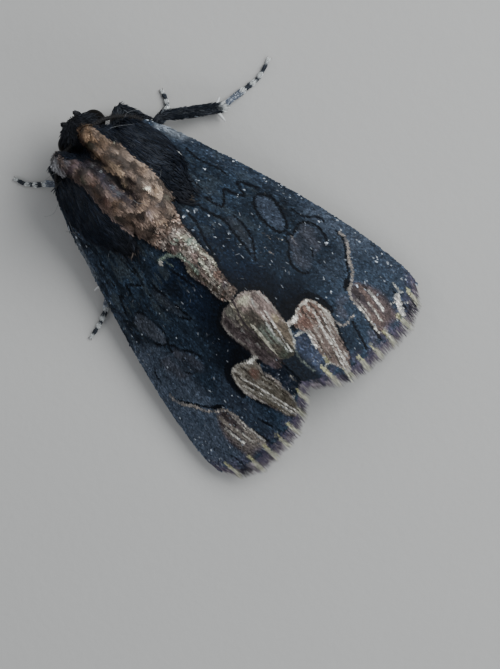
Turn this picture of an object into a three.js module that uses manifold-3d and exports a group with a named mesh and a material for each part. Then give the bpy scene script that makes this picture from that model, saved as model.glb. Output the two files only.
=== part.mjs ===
// A bird's wing moth (Dypterygia scabriuscula) at rest, life size, in millimetres.
// The moth looks along -Y with its tail at +Y; its right side is at -X and +Z is up.
// The working frame has the midline at x = 0, the front of the collar at y = 0 and the floor
// at z = 0. The last line moves the whole moth so that the origin is the centre of its box's base.
import * as THREE from "three";
import { mergeVertices } from "three/addons/utils/BufferGeometryUtils.js";
import Module from "manifold-3d";

const wasm = await Module();
wasm.setup();

// ---------------------------------------------------------------- driving dimensions
const FIT_GAP = 0.06;               // clearance between neighbouring pieces

// The forewings, folded into a roof.
const WING_THICKNESS = 0.55;        // membrane with the scales of both faces
const HALF_SPAN_AT_REST = 7.0;      // midline to the widest point of a folded forewing
const SHOULDER_HALF_WIDTH = 2.2;    // midline to the costa, level with the collar
const WIDEST_AT = 16.5;             // y of the widest point
const COSTA_CURVE = 1.46;           // how quickly the costa runs out to its widest point
const ROOT_AT = 1.9;                // y of the wing's root, beside the thorax
const DORSUM_FROM = 5.8;            // y where the two wings meet behind the thorax
const RIDGE_HEIGHT = 5.2;           // height of the roof's ridge at RIDGE_FROM
const RIDGE_FROM = 6.0;
const RIDGE_FALL = 0.105;           // fall of the ridge for each mm towards the tail
const COSTA_LOWEST = 0.75;          // the costa comes down towards this height
const COSTA_RISE = 3.4;             // how far above that it would be at y = 0
const COSTA_DROP_LENGTH = 6.2;      // length over which the rise dies away
const ROOF_CAMBER = 0.25;           // how far the roof bulges above a straight slope
const TERMEN_AT = 18.8;             // y of the hind edge's furthest point, fringe included
const TORNUS_NOTCH = 1.5;           // how far the inner corner stays short of it
const APEX_ROUND = 1.3;             // how far the costal corner stays short of it
const SEAM_SHIFT = 0.45;            // the right wing laps over the left one at the tail

// The folded hindwings, under the forewings.
const HINDWING_THICKNESS = 0.5;
const HINDWING_SPREAD = [0.09, 0.74];   // from and to, as fractions of the forewing's width
const HINDWING_FRONT = 4.6;
const HINDWING_REAR = 16.9;

// The trunk. Each centre and half size is [across, along, up].
const HEAD_CENTRE = [-0.3, 0.5, 3.6];   // turned a little to the moth's right
const HEAD_HALF = [1.15, 1.17, 1.15];
const EYE_RADIUS = 0.62;
const EYE_REACH = 0.92;             // midline of the head to the eye's centre
const THORAX_CENTRE = [0, 3.55, 3.72];
const THORAX_HALF = [2.15, 2.75, 2.45];
const COLLAR_CENTRE = [0.73, 1.2, 5.25];
const COLLAR_HALF = [0.68, 1.05, 0.85];
const TEGULA_CENTRE = [2.12, 3.95, 4.4];
const TEGULA_HALF = [1.55, 2.65, 0.82];
const TEGULA_SLOPE = 40;            // degrees down and outwards
const ABDOMEN_FRONT = 5.5;
const ABDOMEN_HEIGHT = 2.12;        // height of its axis
const ABDOMEN_HALF = [1.75, 4.9, 1.25];

// The limbs.
const ANTENNA_RADIUS = 0.25;
const FEMUR_RADII = [0.42, 0.3];
const TIBIA_RADII = [0.32, 0.3];
const TARSUS_RADIUS = 0.25;
const KNEE_ROOM = 0.28;             // how far the two pieces of a knee stay short of it

// ---------------------------------------------------------------- colours and finishes
function finish(hex, roughness) {
  return new THREE.MeshStandardMaterial({ color: hex, roughness, metalness: 0 });
}
const black = finish(0x15181d, 0.8);
const slate = finish(0x20262c, 0.75);
const brown = finish(0x8a705c, 0.85);
const grey = finish(0x55504a, 0.85);
const eyeGloss = finish(0x120f0d, 0.2);
const pale = finish(0x9a9488, 0.8);

// ---------------------------------------------------------------- geometry helpers
function smoothstep(value, from, to) {
  return THREE.MathUtils.smoothstep(value, from, to);
}

// Moves every vertex of a closed three.js geometry, keeping only welded positions.
function reshape(geometry, place) {
  geometry.deleteAttribute("normal");
  geometry.deleteAttribute("uv");
  const welded = mergeVertices(geometry, 1e-6);
  const position = welded.getAttribute("position");
  for (let i = 0; i < position.count; i += 1) {
    const [x, y, z] = place(position.getX(i), position.getY(i), position.getZ(i));
    position.setXYZ(i, x, y, z);
  }
  return welded;
}

function toManifold(geometry) {
  return new wasm.Manifold(new wasm.Mesh({
    numProp: 3,
    vertProperties: new Float32Array(geometry.getAttribute("position").array),
    triVerts: new Uint32Array(geometry.getIndex().array),
  }));
}

// Cuts each cutter geometry away from a geometry.
function carve(geometry, ...cutters) {
  let body = toManifold(geometry);
  for (const cutter of cutters) {
    body = body.subtract(toManifold(cutter));
  }
  const mesh = body.getMesh();
  const carved = new THREE.BufferGeometry();
  carved.setAttribute("position", new THREE.BufferAttribute(mesh.vertProperties, 3));
  carved.setIndex(new THREE.BufferAttribute(mesh.triVerts, 1));
  return carved;
}

// A rounded mass: a sphere squared off by a power, with its half sizes grown by `grow`.
function mass(centre, half, { power = 2, grow = 0, around = 20, rings = 14, bend = null } = {}) {
  const size = half.map((length) => length + grow);
  return reshape(new THREE.SphereGeometry(1, around, rings), (x, y, z) => {
    const sum = Math.abs(x) ** power + Math.abs(y) ** power + Math.abs(z) ** power;
    const k = 1 / sum ** (1 / power);
    let point = [x * k * size[0], y * k * size[1], z * k * size[2]];
    if (bend) point = bend(...point);
    return [centre[0] + point[0], centre[1] + point[1], centre[2] + point[2]];
  });
}

// A limb: a cylinder carried along a smooth curve, with a radius for each end and its rims
// drawn in a little. Nothing reaches below the floor, so a limb that lies on it gets a flat sole.
function limb(points, radiusFrom, radiusTo, steps, sides = 8) {
  const curve = new THREE.CatmullRomCurve3(points.map((point) => new THREE.Vector3(...point)));
  const up = new THREE.Vector3(0, 0, 1);
  const turn = Math.PI / sides;
  return reshape(new THREE.CylinderGeometry(1, 1, 1, sides, steps), (x, y, z) => {
    const t = 0.5 - y;
    const at = curve.getPointAt(THREE.MathUtils.clamp(t, 0, 1));
    const along = curve.getTangentAt(THREE.MathUtils.clamp(t, 0, 1));
    const side = new THREE.Vector3().crossVectors(along, up).normalize();
    const over = new THREE.Vector3().crossVectors(along, side);
    const rim = 1 - 0.25 * Math.abs(2 * t - 1) ** 6;
    const radius = rim * THREE.MathUtils.lerp(radiusFrom, radiusTo, t);
    const u = x * Math.cos(turn) - z * Math.sin(turn);
    const v = x * Math.sin(turn) + z * Math.cos(turn);
    const spread = Math.hypot(x, z) < 0.5 ? 0 : radius;
    const px = at.x + spread * (u * side.x + v * over.x);
    const py = at.y + spread * (u * side.y + v * over.y);
    const pz = at.z + spread * (u * side.z + v * over.z);
    return [px, py, Math.max(pz, 0)];
  });
}

// ---------------------------------------------------------------- the roof of the forewings
function halfWidthAt(y) {
  const short = Math.abs(WIDEST_AT - y) / WIDEST_AT;
  return HALF_SPAN_AT_REST - (HALF_SPAN_AT_REST - SHOULDER_HALF_WIDTH) * short ** COSTA_CURVE;
}

function seamAt(y) {
  return SEAM_SHIFT * smoothstep(y, 10, 18);
}

function ridgeHeightAt(y) {
  return RIDGE_HEIGHT - RIDGE_FALL * (y - RIDGE_FROM);
}

function costaHeightAt(y) {
  return COSTA_LOWEST + COSTA_RISE * Math.exp(-y / COSTA_DROP_LENGTH);
}

// Top of the roof at a fraction of the way from the seam (0) to the costa (1).
function roofHeight(fraction, y) {
  const fall = fraction - ROOF_CAMBER * fraction * (1 - fraction);
  return ridgeHeightAt(y) - (ridgeHeightAt(y) - costaHeightAt(y)) * fall;
}

// y of the hind edge, fringe included: short at the tornus, rounded off at the apex.
function termenAt(fraction) {
  const toTornus = Math.max(0, 1 - fraction / 0.5);
  const toApex = Math.max(0, (fraction - 0.5) / 0.5);
  return TERMEN_AT - TORNUS_NOTCH * toTornus ** 2.2 - APEX_ROUND * toApex ** 4;
}

// A wing sheet under the roof. side is -1 for the right wing and 1 for the left one; inner and
// outer are fractions of the half width; front(fraction) and rear(fraction) bound it along y.
function wingSheet(side, { inner, outer, front, rear, top, bottom, columns, rows }) {
  return reshape(new THREE.BoxGeometry(1, 1, 1, columns, rows, 1), (x, y, z) => {
    const q = side * x + 0.5;
    const even = q - 0.06 * Math.sin(2 * Math.PI * q);
    const fraction = THREE.MathUtils.lerp(inner, outer, even);
    const py = THREE.MathUtils.lerp(front(fraction), rear(fraction), y + 0.5);
    const seam = seamAt(py);
    const px = seam + side * fraction * (halfWidthAt(py) - side * seam);
    return [px, py, roofHeight(fraction, py) - (z > 0 ? top : bottom)];
  });
}

// The wing's root starts beside the thorax and its dorsum behind it.
function forewingFront(fraction) {
  return THREE.MathUtils.lerp(DORSUM_FROM, ROOT_AT, smoothstep(fraction, 0.25, 0.6));
}

function forewing(side, grow = 0, depth = WING_THICKNESS) {
  return wingSheet(side, {
    inner: 0.006 - grow * 0.1,
    outer: 1 + grow * 0.2,
    front: (fraction) => forewingFront(fraction) - grow,
    rear: (fraction) => termenAt(THREE.MathUtils.clamp(fraction, 0, 1)) + grow,
    top: -grow,
    bottom: depth,
    columns: 11,
    rows: 20,
  });
}

// The folded hindwing lies close under the forewing, short of its costa and termen.
function hindwing(side) {
  const top = WING_THICKNESS + 2 * FIT_GAP;
  return wingSheet(side, {
    inner: HINDWING_SPREAD[0],
    outer: HINDWING_SPREAD[1],
    front: (fraction) => HINDWING_FRONT + 2.0 * (1 - smoothstep(fraction, 0.1, 0.5)),
    rear: (fraction) => HINDWING_REAR - 5.5 * fraction ** 3,
    top,
    bottom: top + HINDWING_THICKNESS,
    columns: 7,
    rows: 12,
  });
}

// ---------------------------------------------------------------- the trunk
// The back is flat and broad, and its hind end is drawn out into a tuft over the wings' ridge.
function thorax(grow = 0) {
  return mass(THORAX_CENTRE, THORAX_HALF, {
    power: 2.5,
    grow,
    around: 20,
    rings: 14,
    bend: (x, y, z) => {
      const high = smoothstep(z, 0.4, 2.2);
      const behind = smoothstep(y, 0.5, 2.8);
      const narrow = 1 - 0.35 * high * behind;
      return [x * narrow, y + 0.45 * high * behind, z - 0.55 * high * behind];
    },
  });
}

function head(grow = 0) {
  return mass(HEAD_CENTRE, HEAD_HALF, { power: 2.2, grow, around: 16, rings: 10 });
}

function eye(side, grow = 0) {
  const [x, y, z] = HEAD_CENTRE;
  const centre = [x + side * EYE_REACH, y - 0.1, z - 0.1];
  return mass(centre, [EYE_RADIUS, EYE_RADIUS, EYE_RADIUS], { grow, around: 14, rings: 9 });
}

// Each half of the collar is a raised lobe over the front of the thorax.
function collar(side, grow = 0) {
  const [x, y, z] = COLLAR_CENTRE;
  return mass([side * x, y, z], COLLAR_HALF, {
    power: 2.6,
    grow,
    around: 14,
    rings: 9,
    bend: (across, along, up) => [across + side * 0.08 * along, along, up + 0.16 * along],
  });
}

// The tegula is a long furry shield over the wing's root, sloping down and outwards.
function tegula(side) {
  const slope = THREE.MathUtils.degToRad(TEGULA_SLOPE);
  const length = TEGULA_HALF[1];
  const [x, y, z] = TEGULA_CENTRE;
  return mass([side * x, y, z], TEGULA_HALF, {
    power: 2.2,
    around: 18,
    rings: 12,
    bend: (across, along, up) => {
      const out = across * side * (1 - 0.35 * smoothstep(along, 0.2, length));
      const inwards = 0.3 * smoothstep(along, 0, length);
      const px = out * Math.cos(slope) + up * Math.sin(slope) - inwards;
      return [side * px, along, up * Math.cos(slope) - out * Math.sin(slope)];
    },
  });
}

function abdomen() {
  const half = ABDOMEN_HALF[1];
  return mass([0, ABDOMEN_FRONT + half, ABDOMEN_HEIGHT], ABDOMEN_HALF, {
    power: 2.4,
    around: 18,
    rings: 12,
    bend: (x, y, z) => {
      const taper = 1 - 0.4 * smoothstep(y, -1.5, half);
      return [x * taper, y, z * taper - 0.3 * smoothstep(y, -1, half)];
    },
  });
}

function palp(side) {
  const [x, y, z] = HEAD_CENTRE;
  const root = [x + side * 0.38, y - 0.55, z - 1.1];
  const bend = [x + side * 0.42, y - 1.05, z - 0.85];
  const tip = [x + side * 0.42, y - 1.25, z - 0.3];
  return limb([root, bend, tip], 0.3, 0.25, 4, 7);
}

function antenna(points) {
  return limb(points, ANTENNA_RADIUS, ANTENNA_RADIUS, 14, 6);
}

// ---------------------------------------------------------------- where the limbs lie
// The right antenna is tucked under the wing; the left one shows along the costa.
const ANTENNA_RIGHT = [
  [-0.85, 0.5, 4.2], [-1.75, 0.75, 3.85], [-2.6, 1.5, 2.75], [-3.0, 2.6, 2.38],
  [-3.3, 4.0, 2.0], [-3.8, 6.0, 1.5], [-4.1, 8.4, 1.15],
];
const ANTENNA_LEFT = [
  [0.3, 0.5, 4.2], [1.5, 0.65, 3.9], [2.6, 1.45, 2.75], [3.15, 2.5, 2.2],
  [3.8, 4.0, 1.75], [4.3, 5.5, 1.35], [4.5, 7.0, 1.15], [4.6, 8.4, 1.0],
];

// Each leg runs from its hip to the knee, the ankle and then along the tarsus to the claws.
const LEGS = {
  fore_right: {
    hip: [-0.8, 1.9, 2.0], knee: [-2.3, 0.55, 1.5], ankle: [-2.85, 2.15, 0.75],
    tarsus: [[-2.98, 2.36, 0.6], [-3.38, 2.5, 0.42], [-3.86, 2.3, 0.23], [-4.2, 1.9, 0.18],
      [-4.35, 1.4, 0.15]],
  },
  fore_left: {
    hip: [0.8, 1.9, 2.0], knee: [2.1, 0.35, 1.6], ankle: [2.5, 1.35, 0.75],
    tarsus: [[2.74, 1.12, 0.5], [3.11, 0.72, 0.35], [3.55, 0.38, 0.22], [3.95, -0.08, 0.18],
      [4.17, -0.64, 0.15]],
  },
  mid_right: {
    hip: [-1.0, 3.3, 1.75], knee: [-3.5, 2.35, 1.72], ankle: [-6.0, 4.15, 0.62],
    tarsus: [[-6.2, 4.18, 0.52], [-6.7, 4.2, 0.38], [-7.4, 4.28, 0.23], [-8.2, 4.36, 0.18],
      [-8.75, 4.25, 0.15], [-9.35, 4.04, 0.15]],
  },
  mid_left: {
    hip: [1.0, 3.6, 1.7], knee: [2.9, 4.4, 1.4], ankle: [4.5, 6.6, 0.55],
    tarsus: [[4.65, 6.78, 0.46], [5.1, 7.12, 0.34], [5.65, 7.46, 0.22], [6.3, 7.7, 0.17],
      [7.05, 7.86, 0.15]],
  },
  hind_right: {
    hip: [-0.9, 4.8, 1.6], knee: [-3.0, 6.4, 1.35], ankle: [-3.4, 10.6, 0.55],
    tarsus: [[-3.44, 10.85, 0.46], [-3.55, 11.8, 0.3], [-3.7, 13.0, 0.17], [-3.9, 14.3, 0.15]],
  },
  hind_left: {
    hip: [0.9, 4.8, 1.6], knee: [2.9, 6.9, 1.3], ankle: [3.2, 10.9, 0.55],
    tarsus: [[3.24, 11.15, 0.46], [3.3, 12.0, 0.3], [3.5, 13.2, 0.17], [3.8, 14.5, 0.15]],
  },
};

// ---------------------------------------------------------------- assembly
const moth = new THREE.Group();

function add(name, geometry, material) {
  const flat = geometry.toNonIndexed();
  flat.computeVertexNormals();
  const mesh = new THREE.Mesh(flat, material);
  mesh.name = name;
  moth.add(mesh);
}

// A point set back from the end of a straight stretch by the given distance.
function shortOf(end, from, distance) {
  const tip = new THREE.Vector3(...end);
  const back = new THREE.Vector3(...from).sub(tip).setLength(distance);
  return tip.add(back).toArray();
}

function addLeg(name, { hip, knee, ankle, tarsus }) {
  const femur = limb([hip, shortOf(knee, hip, KNEE_ROOM)], ...FEMUR_RADII, 3);
  const tibia = limb([shortOf(knee, ankle, KNEE_ROOM), ankle], ...TIBIA_RADII, 4);
  add(`femur_${name}`, carve(femur, thorax(FIT_GAP)), black);
  add(`tibia_${name}`, tibia, black);
  add(`tarsus_${name}`, limb(tarsus, TARSUS_RADIUS, TARSUS_RADIUS, 6), slate);
}

add("thorax", thorax(), brown);
add("head", carve(head(), thorax(FIT_GAP), eye(-1, FIT_GAP), eye(1, FIT_GAP)), black);
add("abdomen", carve(abdomen(), thorax(FIT_GAP)), grey);

for (const [side, name] of [[-1, "right"], [1, "left"]]) {
  add(`eye_${name}`, carve(eye(side), thorax(FIT_GAP)), eyeGloss);
  add(`palp_${name}`, carve(palp(side), head(FIT_GAP)), grey);
  add(`collar_${name}`, carve(collar(side), thorax(FIT_GAP), head(FIT_GAP)), brown);
  add(`forewing_${name}`, carve(forewing(side), thorax(FIT_GAP)), slate);
  add(`hindwing_${name}`, carve(hindwing(side), thorax(FIT_GAP)), grey);
  const rooted = [thorax(FIT_GAP), forewing(side, FIT_GAP, 3), collar(side, FIT_GAP)];
  add(`tegula_${name}`, carve(tegula(side), ...rooted), black);
}

const antennae = { right: ANTENNA_RIGHT, left: ANTENNA_LEFT };
for (const [name, points] of Object.entries(antennae)) {
  const side = name === "right" ? -1 : 1;
  add(`antenna_${name}`, carve(antenna(points), head(FIT_GAP), eye(side, FIT_GAP)), pale);
}

for (const [name, leg] of Object.entries(LEGS)) {
  addLeg(name, leg);
}

// The origin is the centre of the base of the moth's box.
const box = new THREE.Box3().setFromObject(moth);
const middle = box.getCenter(new THREE.Vector3());
moth.position.set(-middle.x, -middle.y, -box.min.z);

export default moth;
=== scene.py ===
import bpy
import numpy as np
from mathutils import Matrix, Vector


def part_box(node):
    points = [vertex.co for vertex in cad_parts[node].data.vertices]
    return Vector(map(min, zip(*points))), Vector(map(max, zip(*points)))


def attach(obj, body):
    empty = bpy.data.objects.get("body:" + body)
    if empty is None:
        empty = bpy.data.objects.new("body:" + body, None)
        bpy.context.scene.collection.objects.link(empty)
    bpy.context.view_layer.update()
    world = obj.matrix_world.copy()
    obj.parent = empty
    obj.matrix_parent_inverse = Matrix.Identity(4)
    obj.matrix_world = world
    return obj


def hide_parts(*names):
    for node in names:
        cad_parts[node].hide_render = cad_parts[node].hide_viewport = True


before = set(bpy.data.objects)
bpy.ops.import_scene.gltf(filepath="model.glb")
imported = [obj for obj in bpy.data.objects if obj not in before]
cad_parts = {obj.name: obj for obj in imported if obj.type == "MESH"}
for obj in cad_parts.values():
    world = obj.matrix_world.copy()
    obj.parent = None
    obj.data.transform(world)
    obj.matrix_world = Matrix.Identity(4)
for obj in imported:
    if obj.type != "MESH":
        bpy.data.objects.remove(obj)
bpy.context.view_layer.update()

# ------------------------------------------------------------------------------ camera
# The moth is set on the floor, and the camera looks down on its back from 12 cm, with the head
# at the upper left. Places are given in millimetres from the midline, the collar's front and
# the floor; placed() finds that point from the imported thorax, whose front is 0.80 mm behind it.
MM = 0.001
THORAX_FRONT = 0.8
thorax_low, thorax_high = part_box("thorax")
ORIGIN = np.array([(thorax_low.x + thorax_high.x) / 2, thorax_low.y - THORAX_FRONT * MM, 0.0])


def placed(points):
    """Millimetres in the moth's own frame to metres in the row frame: scaled, then shifted."""
    return ORIGIN + MM * np.asarray(points, float)


camera = bpy.data.objects.new("camera", bpy.data.cameras.new("camera"))
bpy.context.scene.collection.objects.link(camera)
camera.data.sensor_width = 36.0
camera.data.lens = 129.15
camera.data.clip_start = 0.005
camera.location = placed((-13.454, 10.283, 121.617))
camera.rotation_euler = np.radians((-5.779, 3.875, 135.878))
bpy.context.scene.camera = camera

# ------------------------------------------------------------------------------ light
# A broad window-like light falls on the moth's right side, as in the pose's own shade, with a
# weak fill from the other side and a grey room round both.
# Each lamp's name, place, width in millimetres, watts and colour.
LAMPS = [
    ("window_light", (-95.0, 25.0, 105.0), 95.0, 0.215, (0.93, 0.97, 1.0)),
    ("fill_light", (80.0, -60.0, 90.0), 90.0, 0.026, (1.0, 0.97, 0.93)),
    ("rear_light", (10.0, 130.0, 70.0), 80.0, 0.036, (0.95, 0.98, 1.0)),
]
for name, place, width, watts, colour in LAMPS:
    lamp = bpy.data.objects.new(name, bpy.data.lights.new(name, "AREA"))
    bpy.context.scene.collection.objects.link(lamp)
    lamp.data.size = width * MM
    lamp.data.energy = watts
    lamp.data.color = colour
    lamp.location = placed(place)
    towards = lamp.location - Vector(placed((0.0, 9.0, 2.0)))
    lamp.rotation_euler = towards.to_track_quat("Z", "Y").to_euler()

room = bpy.data.worlds.new("room")
room.use_nodes = True
room.node_tree.nodes["Background"].inputs["Color"].default_value = (0.8, 0.88, 1.0, 1.0)
room.node_tree.nodes["Background"].inputs["Strength"].default_value = 0.34
bpy.context.scene.world = room


# ------------------------------------------------------------------------------ floor
# A plain pale sheet of matt card, far larger than the moth, with a faint tooth.
class Paint:
    """One socket of a material. Arithmetic on it adds Math nodes; node() adds any other node."""

    def __init__(self, tree, socket=None):
        self.tree = tree
        self.socket = socket

    def node(self, kind, settings=None, inputs=None, output=0):
        """Adds a node, sets it, then gives each named input a value or another Paint's link."""
        made = self.tree.nodes.new(kind)
        for key, value in (settings or {}).items():
            setattr(made, key, value)
        for key, value in (inputs or {}).items():
            if isinstance(value, Paint):
                self.tree.links.new(value.socket, made.inputs[key])
            else:
                made.inputs[key].default_value = value
        return Paint(self.tree, made.outputs[output])

    def math(self, operation, first, second):
        return self.node("ShaderNodeMath", {"operation": operation}, {0: first, 1: second})

    def __add__(self, other):
        return self.math("ADD", self, other)

    def __radd__(self, other):
        return self.math("ADD", other, self)

    def __mul__(self, other):
        return self.math("MULTIPLY", self, other)

    def __rmul__(self, other):
        return self.math("MULTIPLY", other, self)

    def noise(self, size, detail=3.0):
        """Soft noise in the object's own coordinates, with features about `size` mm across."""
        where = self.node("ShaderNodeTexCoord", output=3)
        settings = {"Vector": where, "Scale": 1.0 / (size * MM), "Detail": detail}
        return self.node("ShaderNodeTexNoise", None, settings)

    def tinted(self, colour, factor):
        """A colour darkened or lightened over the surface by a factor, on each of its channels."""
        return self.node("ShaderNodeVectorMath", {"operation": "SCALE"}, {0: colour, "Scale": factor})


def new_material(name, roughness, specular=0.5):
    """A principled material, returned with its shader node and a Paint to add nodes with."""
    material = bpy.data.materials.new(name)
    material.use_nodes = True
    shader = material.node_tree.nodes["Principled BSDF"]
    shader.inputs["Roughness"].default_value = roughness
    shader.inputs["Specular IOR Level"].default_value = specular
    return material, shader, Paint(material.node_tree)


def feed(paint, shader, socket, value):
    """Links a Paint into one of the shader's sockets."""
    paint.tree.links.new(value.socket, shader.inputs[socket])


def bumped(paint, shader, height, depth, strength=1.0):
    """Feeds the shader's normal with a bump `depth` mm deep."""
    inputs = {"Height": height, "Distance": depth * MM, "Strength": strength}
    feed(paint, shader, "Normal", paint.node("ShaderNodeBump", None, inputs))


FLOOR_REACH = 600.0
card = bpy.data.meshes.new("floor")
corners = placed([(x * FLOOR_REACH, y * FLOOR_REACH, 0.0) for x, y in [(-1, -1), (1, -1), (1, 1), (-1, 1)]])
card.from_pydata(corners.tolist(), [], [(0, 1, 2, 3)])
floor = bpy.data.objects.new("floor", card)
bpy.context.scene.collection.objects.link(floor)
material, shader, paint = new_material("matt_card", 0.85, 0.2)
shade = paint.noise(9.0, 2.0) * 0.03 + 0.985
pale = paint.node("ShaderNodeCombineXYZ", None, {0: 0.5, 1: 0.485, 2: 0.46})
feed(paint, shader, "Base Color", paint.tinted(pale, shade))
bumped(paint, shader, paint.noise(0.5), 0.02)
card.materials.append(material)

# ------------------------------------------------------------------------------ forewings
# Each forewing is one thin membrane on stiff veins, held with its fellow as a low roof over the
# abdomen. The membrane carries the same markings as its scales and lies 0.1 mm below the
# outside of the coat. Right is -1 and left is +1 across the midline.
SIDES = {"right": -1, "left": 1}
HALF_SPAN = 7.0
SHOULDER = 2.2
WIDEST_AT = 16.5
MEMBRANE_DEPTH = 0.1
MEMBRANE_THICKNESS = 0.1
FRINGE_LENGTH = 0.72


def ease(value, start, end):
    """0 before start, 1 after end, and the cubic 3t^2 - 2t^3 between them."""
    t = np.clip((np.asarray(value, float) - start) / (end - start), 0.0, 1.0)
    return t * t * (3.0 - 2.0 * t)


def half_width(y):
    """Midline to costa: the widest half span less a power of the distance from the widest place."""
    return HALF_SPAN - (HALF_SPAN - SHOULDER) * (np.abs(WIDEST_AT - y) / WIDEST_AT) ** 1.46


def roof_height(f, y):
    """From the ridge, which falls slowly, to the costa, which drops away from the shoulder, with
    a slight bulge between them."""
    ridge = 5.2 - 0.105 * (y - 6.0)
    costa = 0.75 + 3.4 * np.exp(-y / 6.2)
    return ridge - (ridge - costa) * (f - 0.25 * f * (1.0 - f))


def termen(f):
    """Hind edge: straight at its middle, drawn in at the inner corner and rounded at the apex."""
    inner = 1.5 * np.maximum(0.0, 1.0 - f / 0.5) ** 2.2
    apex = 1.3 * np.maximum(0.0, (f - 0.5) / 0.5) ** 4
    return 18.8 - inner - apex


def wing_front(f):
    """Front edge: the wing's root beside the thorax, stepping back to where the wings meet."""
    return 5.8 - 3.9 * ease(f, 0.25, 0.6)


def seam_at(y):
    """Where the wings meet: on the midline in front, and 0.45 mm to the left of it towards the
    tail, where the right wing laps over the left one."""
    return 0.45 * ease(y, 11.2, 12.9)


def wing_plan(side, f, y):
    """Across the moth: from the seam out by the fraction f of the half width."""
    return seam_at(y) + side * f * (half_width(y) - side * seam_at(y))


VEIN_ENDS = np.array([0.22, 0.33, 0.43, 0.52, 0.61, 0.7, 0.79, 0.88])


def vein_relief(f, y):
    """Low ridges along the veins, 0.018 mm high, which fan from the end of the cell to the
    termen, with a faint hollow between them."""
    spread = np.clip((y - 9.0) / 8.0, 0.0, 1.0)
    ridge = np.zeros(np.broadcast(f, y).shape)
    for end in VEIN_ENDS:
        line = 0.52 + (end - 0.52) * (0.35 + 0.65 * spread)
        ridge = np.maximum(ridge, np.exp(-(((f - line) / 0.016) ** 2)))
    return 0.018 * ridge * ease(y, 8.5, 12.0) * ease(18.0 - y, 0.0, 0.8)


def wing_surface(side, f, y, drop=0.0):
    """A point on the wing's upper face, `drop` mm under the outside of its coat."""
    f, y = np.broadcast_arrays(np.asarray(f, float), np.asarray(y, float))
    height = roof_height(f, y) - drop + vein_relief(f, y)
    return np.stack([wing_plan(side, f, y), y, height], -1)


def build(name, points, faces, material, tint=None, unwrap=None, smooth=True):
    """Puts arrays of points, equal-sided faces, a colour for each point and a place on the
    unwrap for each point into a mesh object that rides on the moth."""
    mesh = bpy.data.meshes.new(name)
    faces = np.asarray(faces, np.int32)
    count, corners = faces.shape
    mesh.vertices.add(len(points))
    mesh.vertices.foreach_set("co", placed(points).astype(np.float32).ravel())
    mesh.loops.add(count * corners)
    mesh.loops.foreach_set("vertex_index", faces.ravel())
    mesh.polygons.add(count)
    mesh.polygons.foreach_set("loop_start", np.arange(0, count * corners, corners, dtype=np.int32))
    mesh.polygons.foreach_set("use_smooth", np.full(count, smooth))
    if tint is not None:
        colours = np.ones((len(points), 4), np.float32)
        colours[:, :3] = tint
        layer = mesh.attributes.new("tint", "FLOAT_COLOR", "POINT")
        layer.data.foreach_set("color", colours.ravel())
    if unwrap is not None:
        layer = mesh.uv_layers.new(name="OFBake")
        layer.data.foreach_set("uv", unwrap[faces.ravel()].astype(np.float32).ravel())
    mesh.update(calc_edges=True)
    mesh.validate()
    mesh.materials.append(material)
    made = bpy.data.objects.new(name, mesh)
    bpy.context.scene.collection.objects.link(made)
    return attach(made, "root")


def grid_faces(rows, columns, first=0, flip=False, wrap=False):
    """Quads of a rows x columns grid of points, optionally joined round and turned over."""
    across = np.arange(columns if wrap else columns - 1)
    along = np.arange(rows - 1)[:, None]
    beside = (across + 1) % columns
    quads = np.stack([along * columns + across, along * columns + beside,
                      (along + 1) * columns + beside, (along + 1) * columns + across], -1)
    quads = quads.reshape(-1, 4) + first
    return quads[:, ::-1] if flip else quads


def closed_sheet(top, bottom, flip):
    """A thin closed body from two equal grids: both faces, and a rim of quads round them."""
    rows, columns = top.shape[:2]
    points = np.concatenate([top.reshape(-1, 3), bottom.reshape(-1, 3)])
    index = np.arange(rows * columns).reshape(rows, columns)
    ring = np.concatenate([index[0, :-1], index[:-1, -1], index[-1, :0:-1], index[:0:-1, 0]])
    after = np.roll(ring, -1)
    under = rows * columns
    rim = np.stack([after, ring, ring + under, after + under], -1)
    if flip:
        rim = rim[:, ::-1]
    faces = [grid_faces(rows, columns, 0, flip), grid_faces(rows, columns, under, not flip), rim]
    return points, np.concatenate(faces)


# The markings are painted in plan: x out from the midline, y back from the collar's front.
CHANCE = np.random.default_rng(20)
LATTICE = CHANCE.random((97, 89))


def mottle(x, y, size, seed=0):
    """Smooth random patches from 0 to 1, about `size` mm across: random values on a lattice,
    eased into one another. A pair of sizes stretches the patches."""
    wide, long = np.broadcast_to(size, 2)
    u = np.asarray(x, float) / wide + 17.3 * seed + 40.0
    v = np.asarray(y, float) / long + 9.7 * seed + 40.0
    i, j = np.floor(u).astype(int), np.floor(v).astype(int)
    s, t = ease(u - i, 0.0, 1.0), ease(v - j, 0.0, 1.0)
    rows, columns = LATTICE.shape

    def at(di, dj):
        return LATTICE[(i + di) % rows, (j + dj) % columns]

    near = at(0, 0) * (1 - s) + at(1, 0) * s
    far = at(0, 1) * (1 - s) + at(1, 1) * s
    return near * (1 - t) + far * t


def rounded(points, closed):
    """A smooth outline through its few points: Catmull-Rom pieces of five steps each."""
    points = np.asarray(points, float)
    padded = points[np.r_[-1, 0:len(points), 0, 1]] if closed else points[np.r_[0, 0:len(points), -1]]
    t = np.linspace(0.0, 1.0, 6)[:-1, None]
    pieces = []
    for a, b, c, d in zip(padded, padded[1:], padded[2:], padded[3:]):
        pieces.append(b + 0.5 * t * (c - a + t * (2 * a - 5 * b + 4 * c - d + t * (3 * (b - c) + d - a))))
    if not closed:
        pieces.append(padded[-1:])
    return np.concatenate(pieces)


def gap_to(x, y, line):
    """Distance from each place to a run of straight pieces: the least over all the pieces."""
    start, step = line[:-1], np.diff(line, axis=0)
    here = np.stack([x, y], -1)[:, None, :] - start
    along = np.clip((here * step).sum(-1) / (step ** 2).sum(-1), 0.0, 1.0)
    return np.sqrt(((here - along[..., None] * step) ** 2).sum(-1).min(1))


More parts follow.
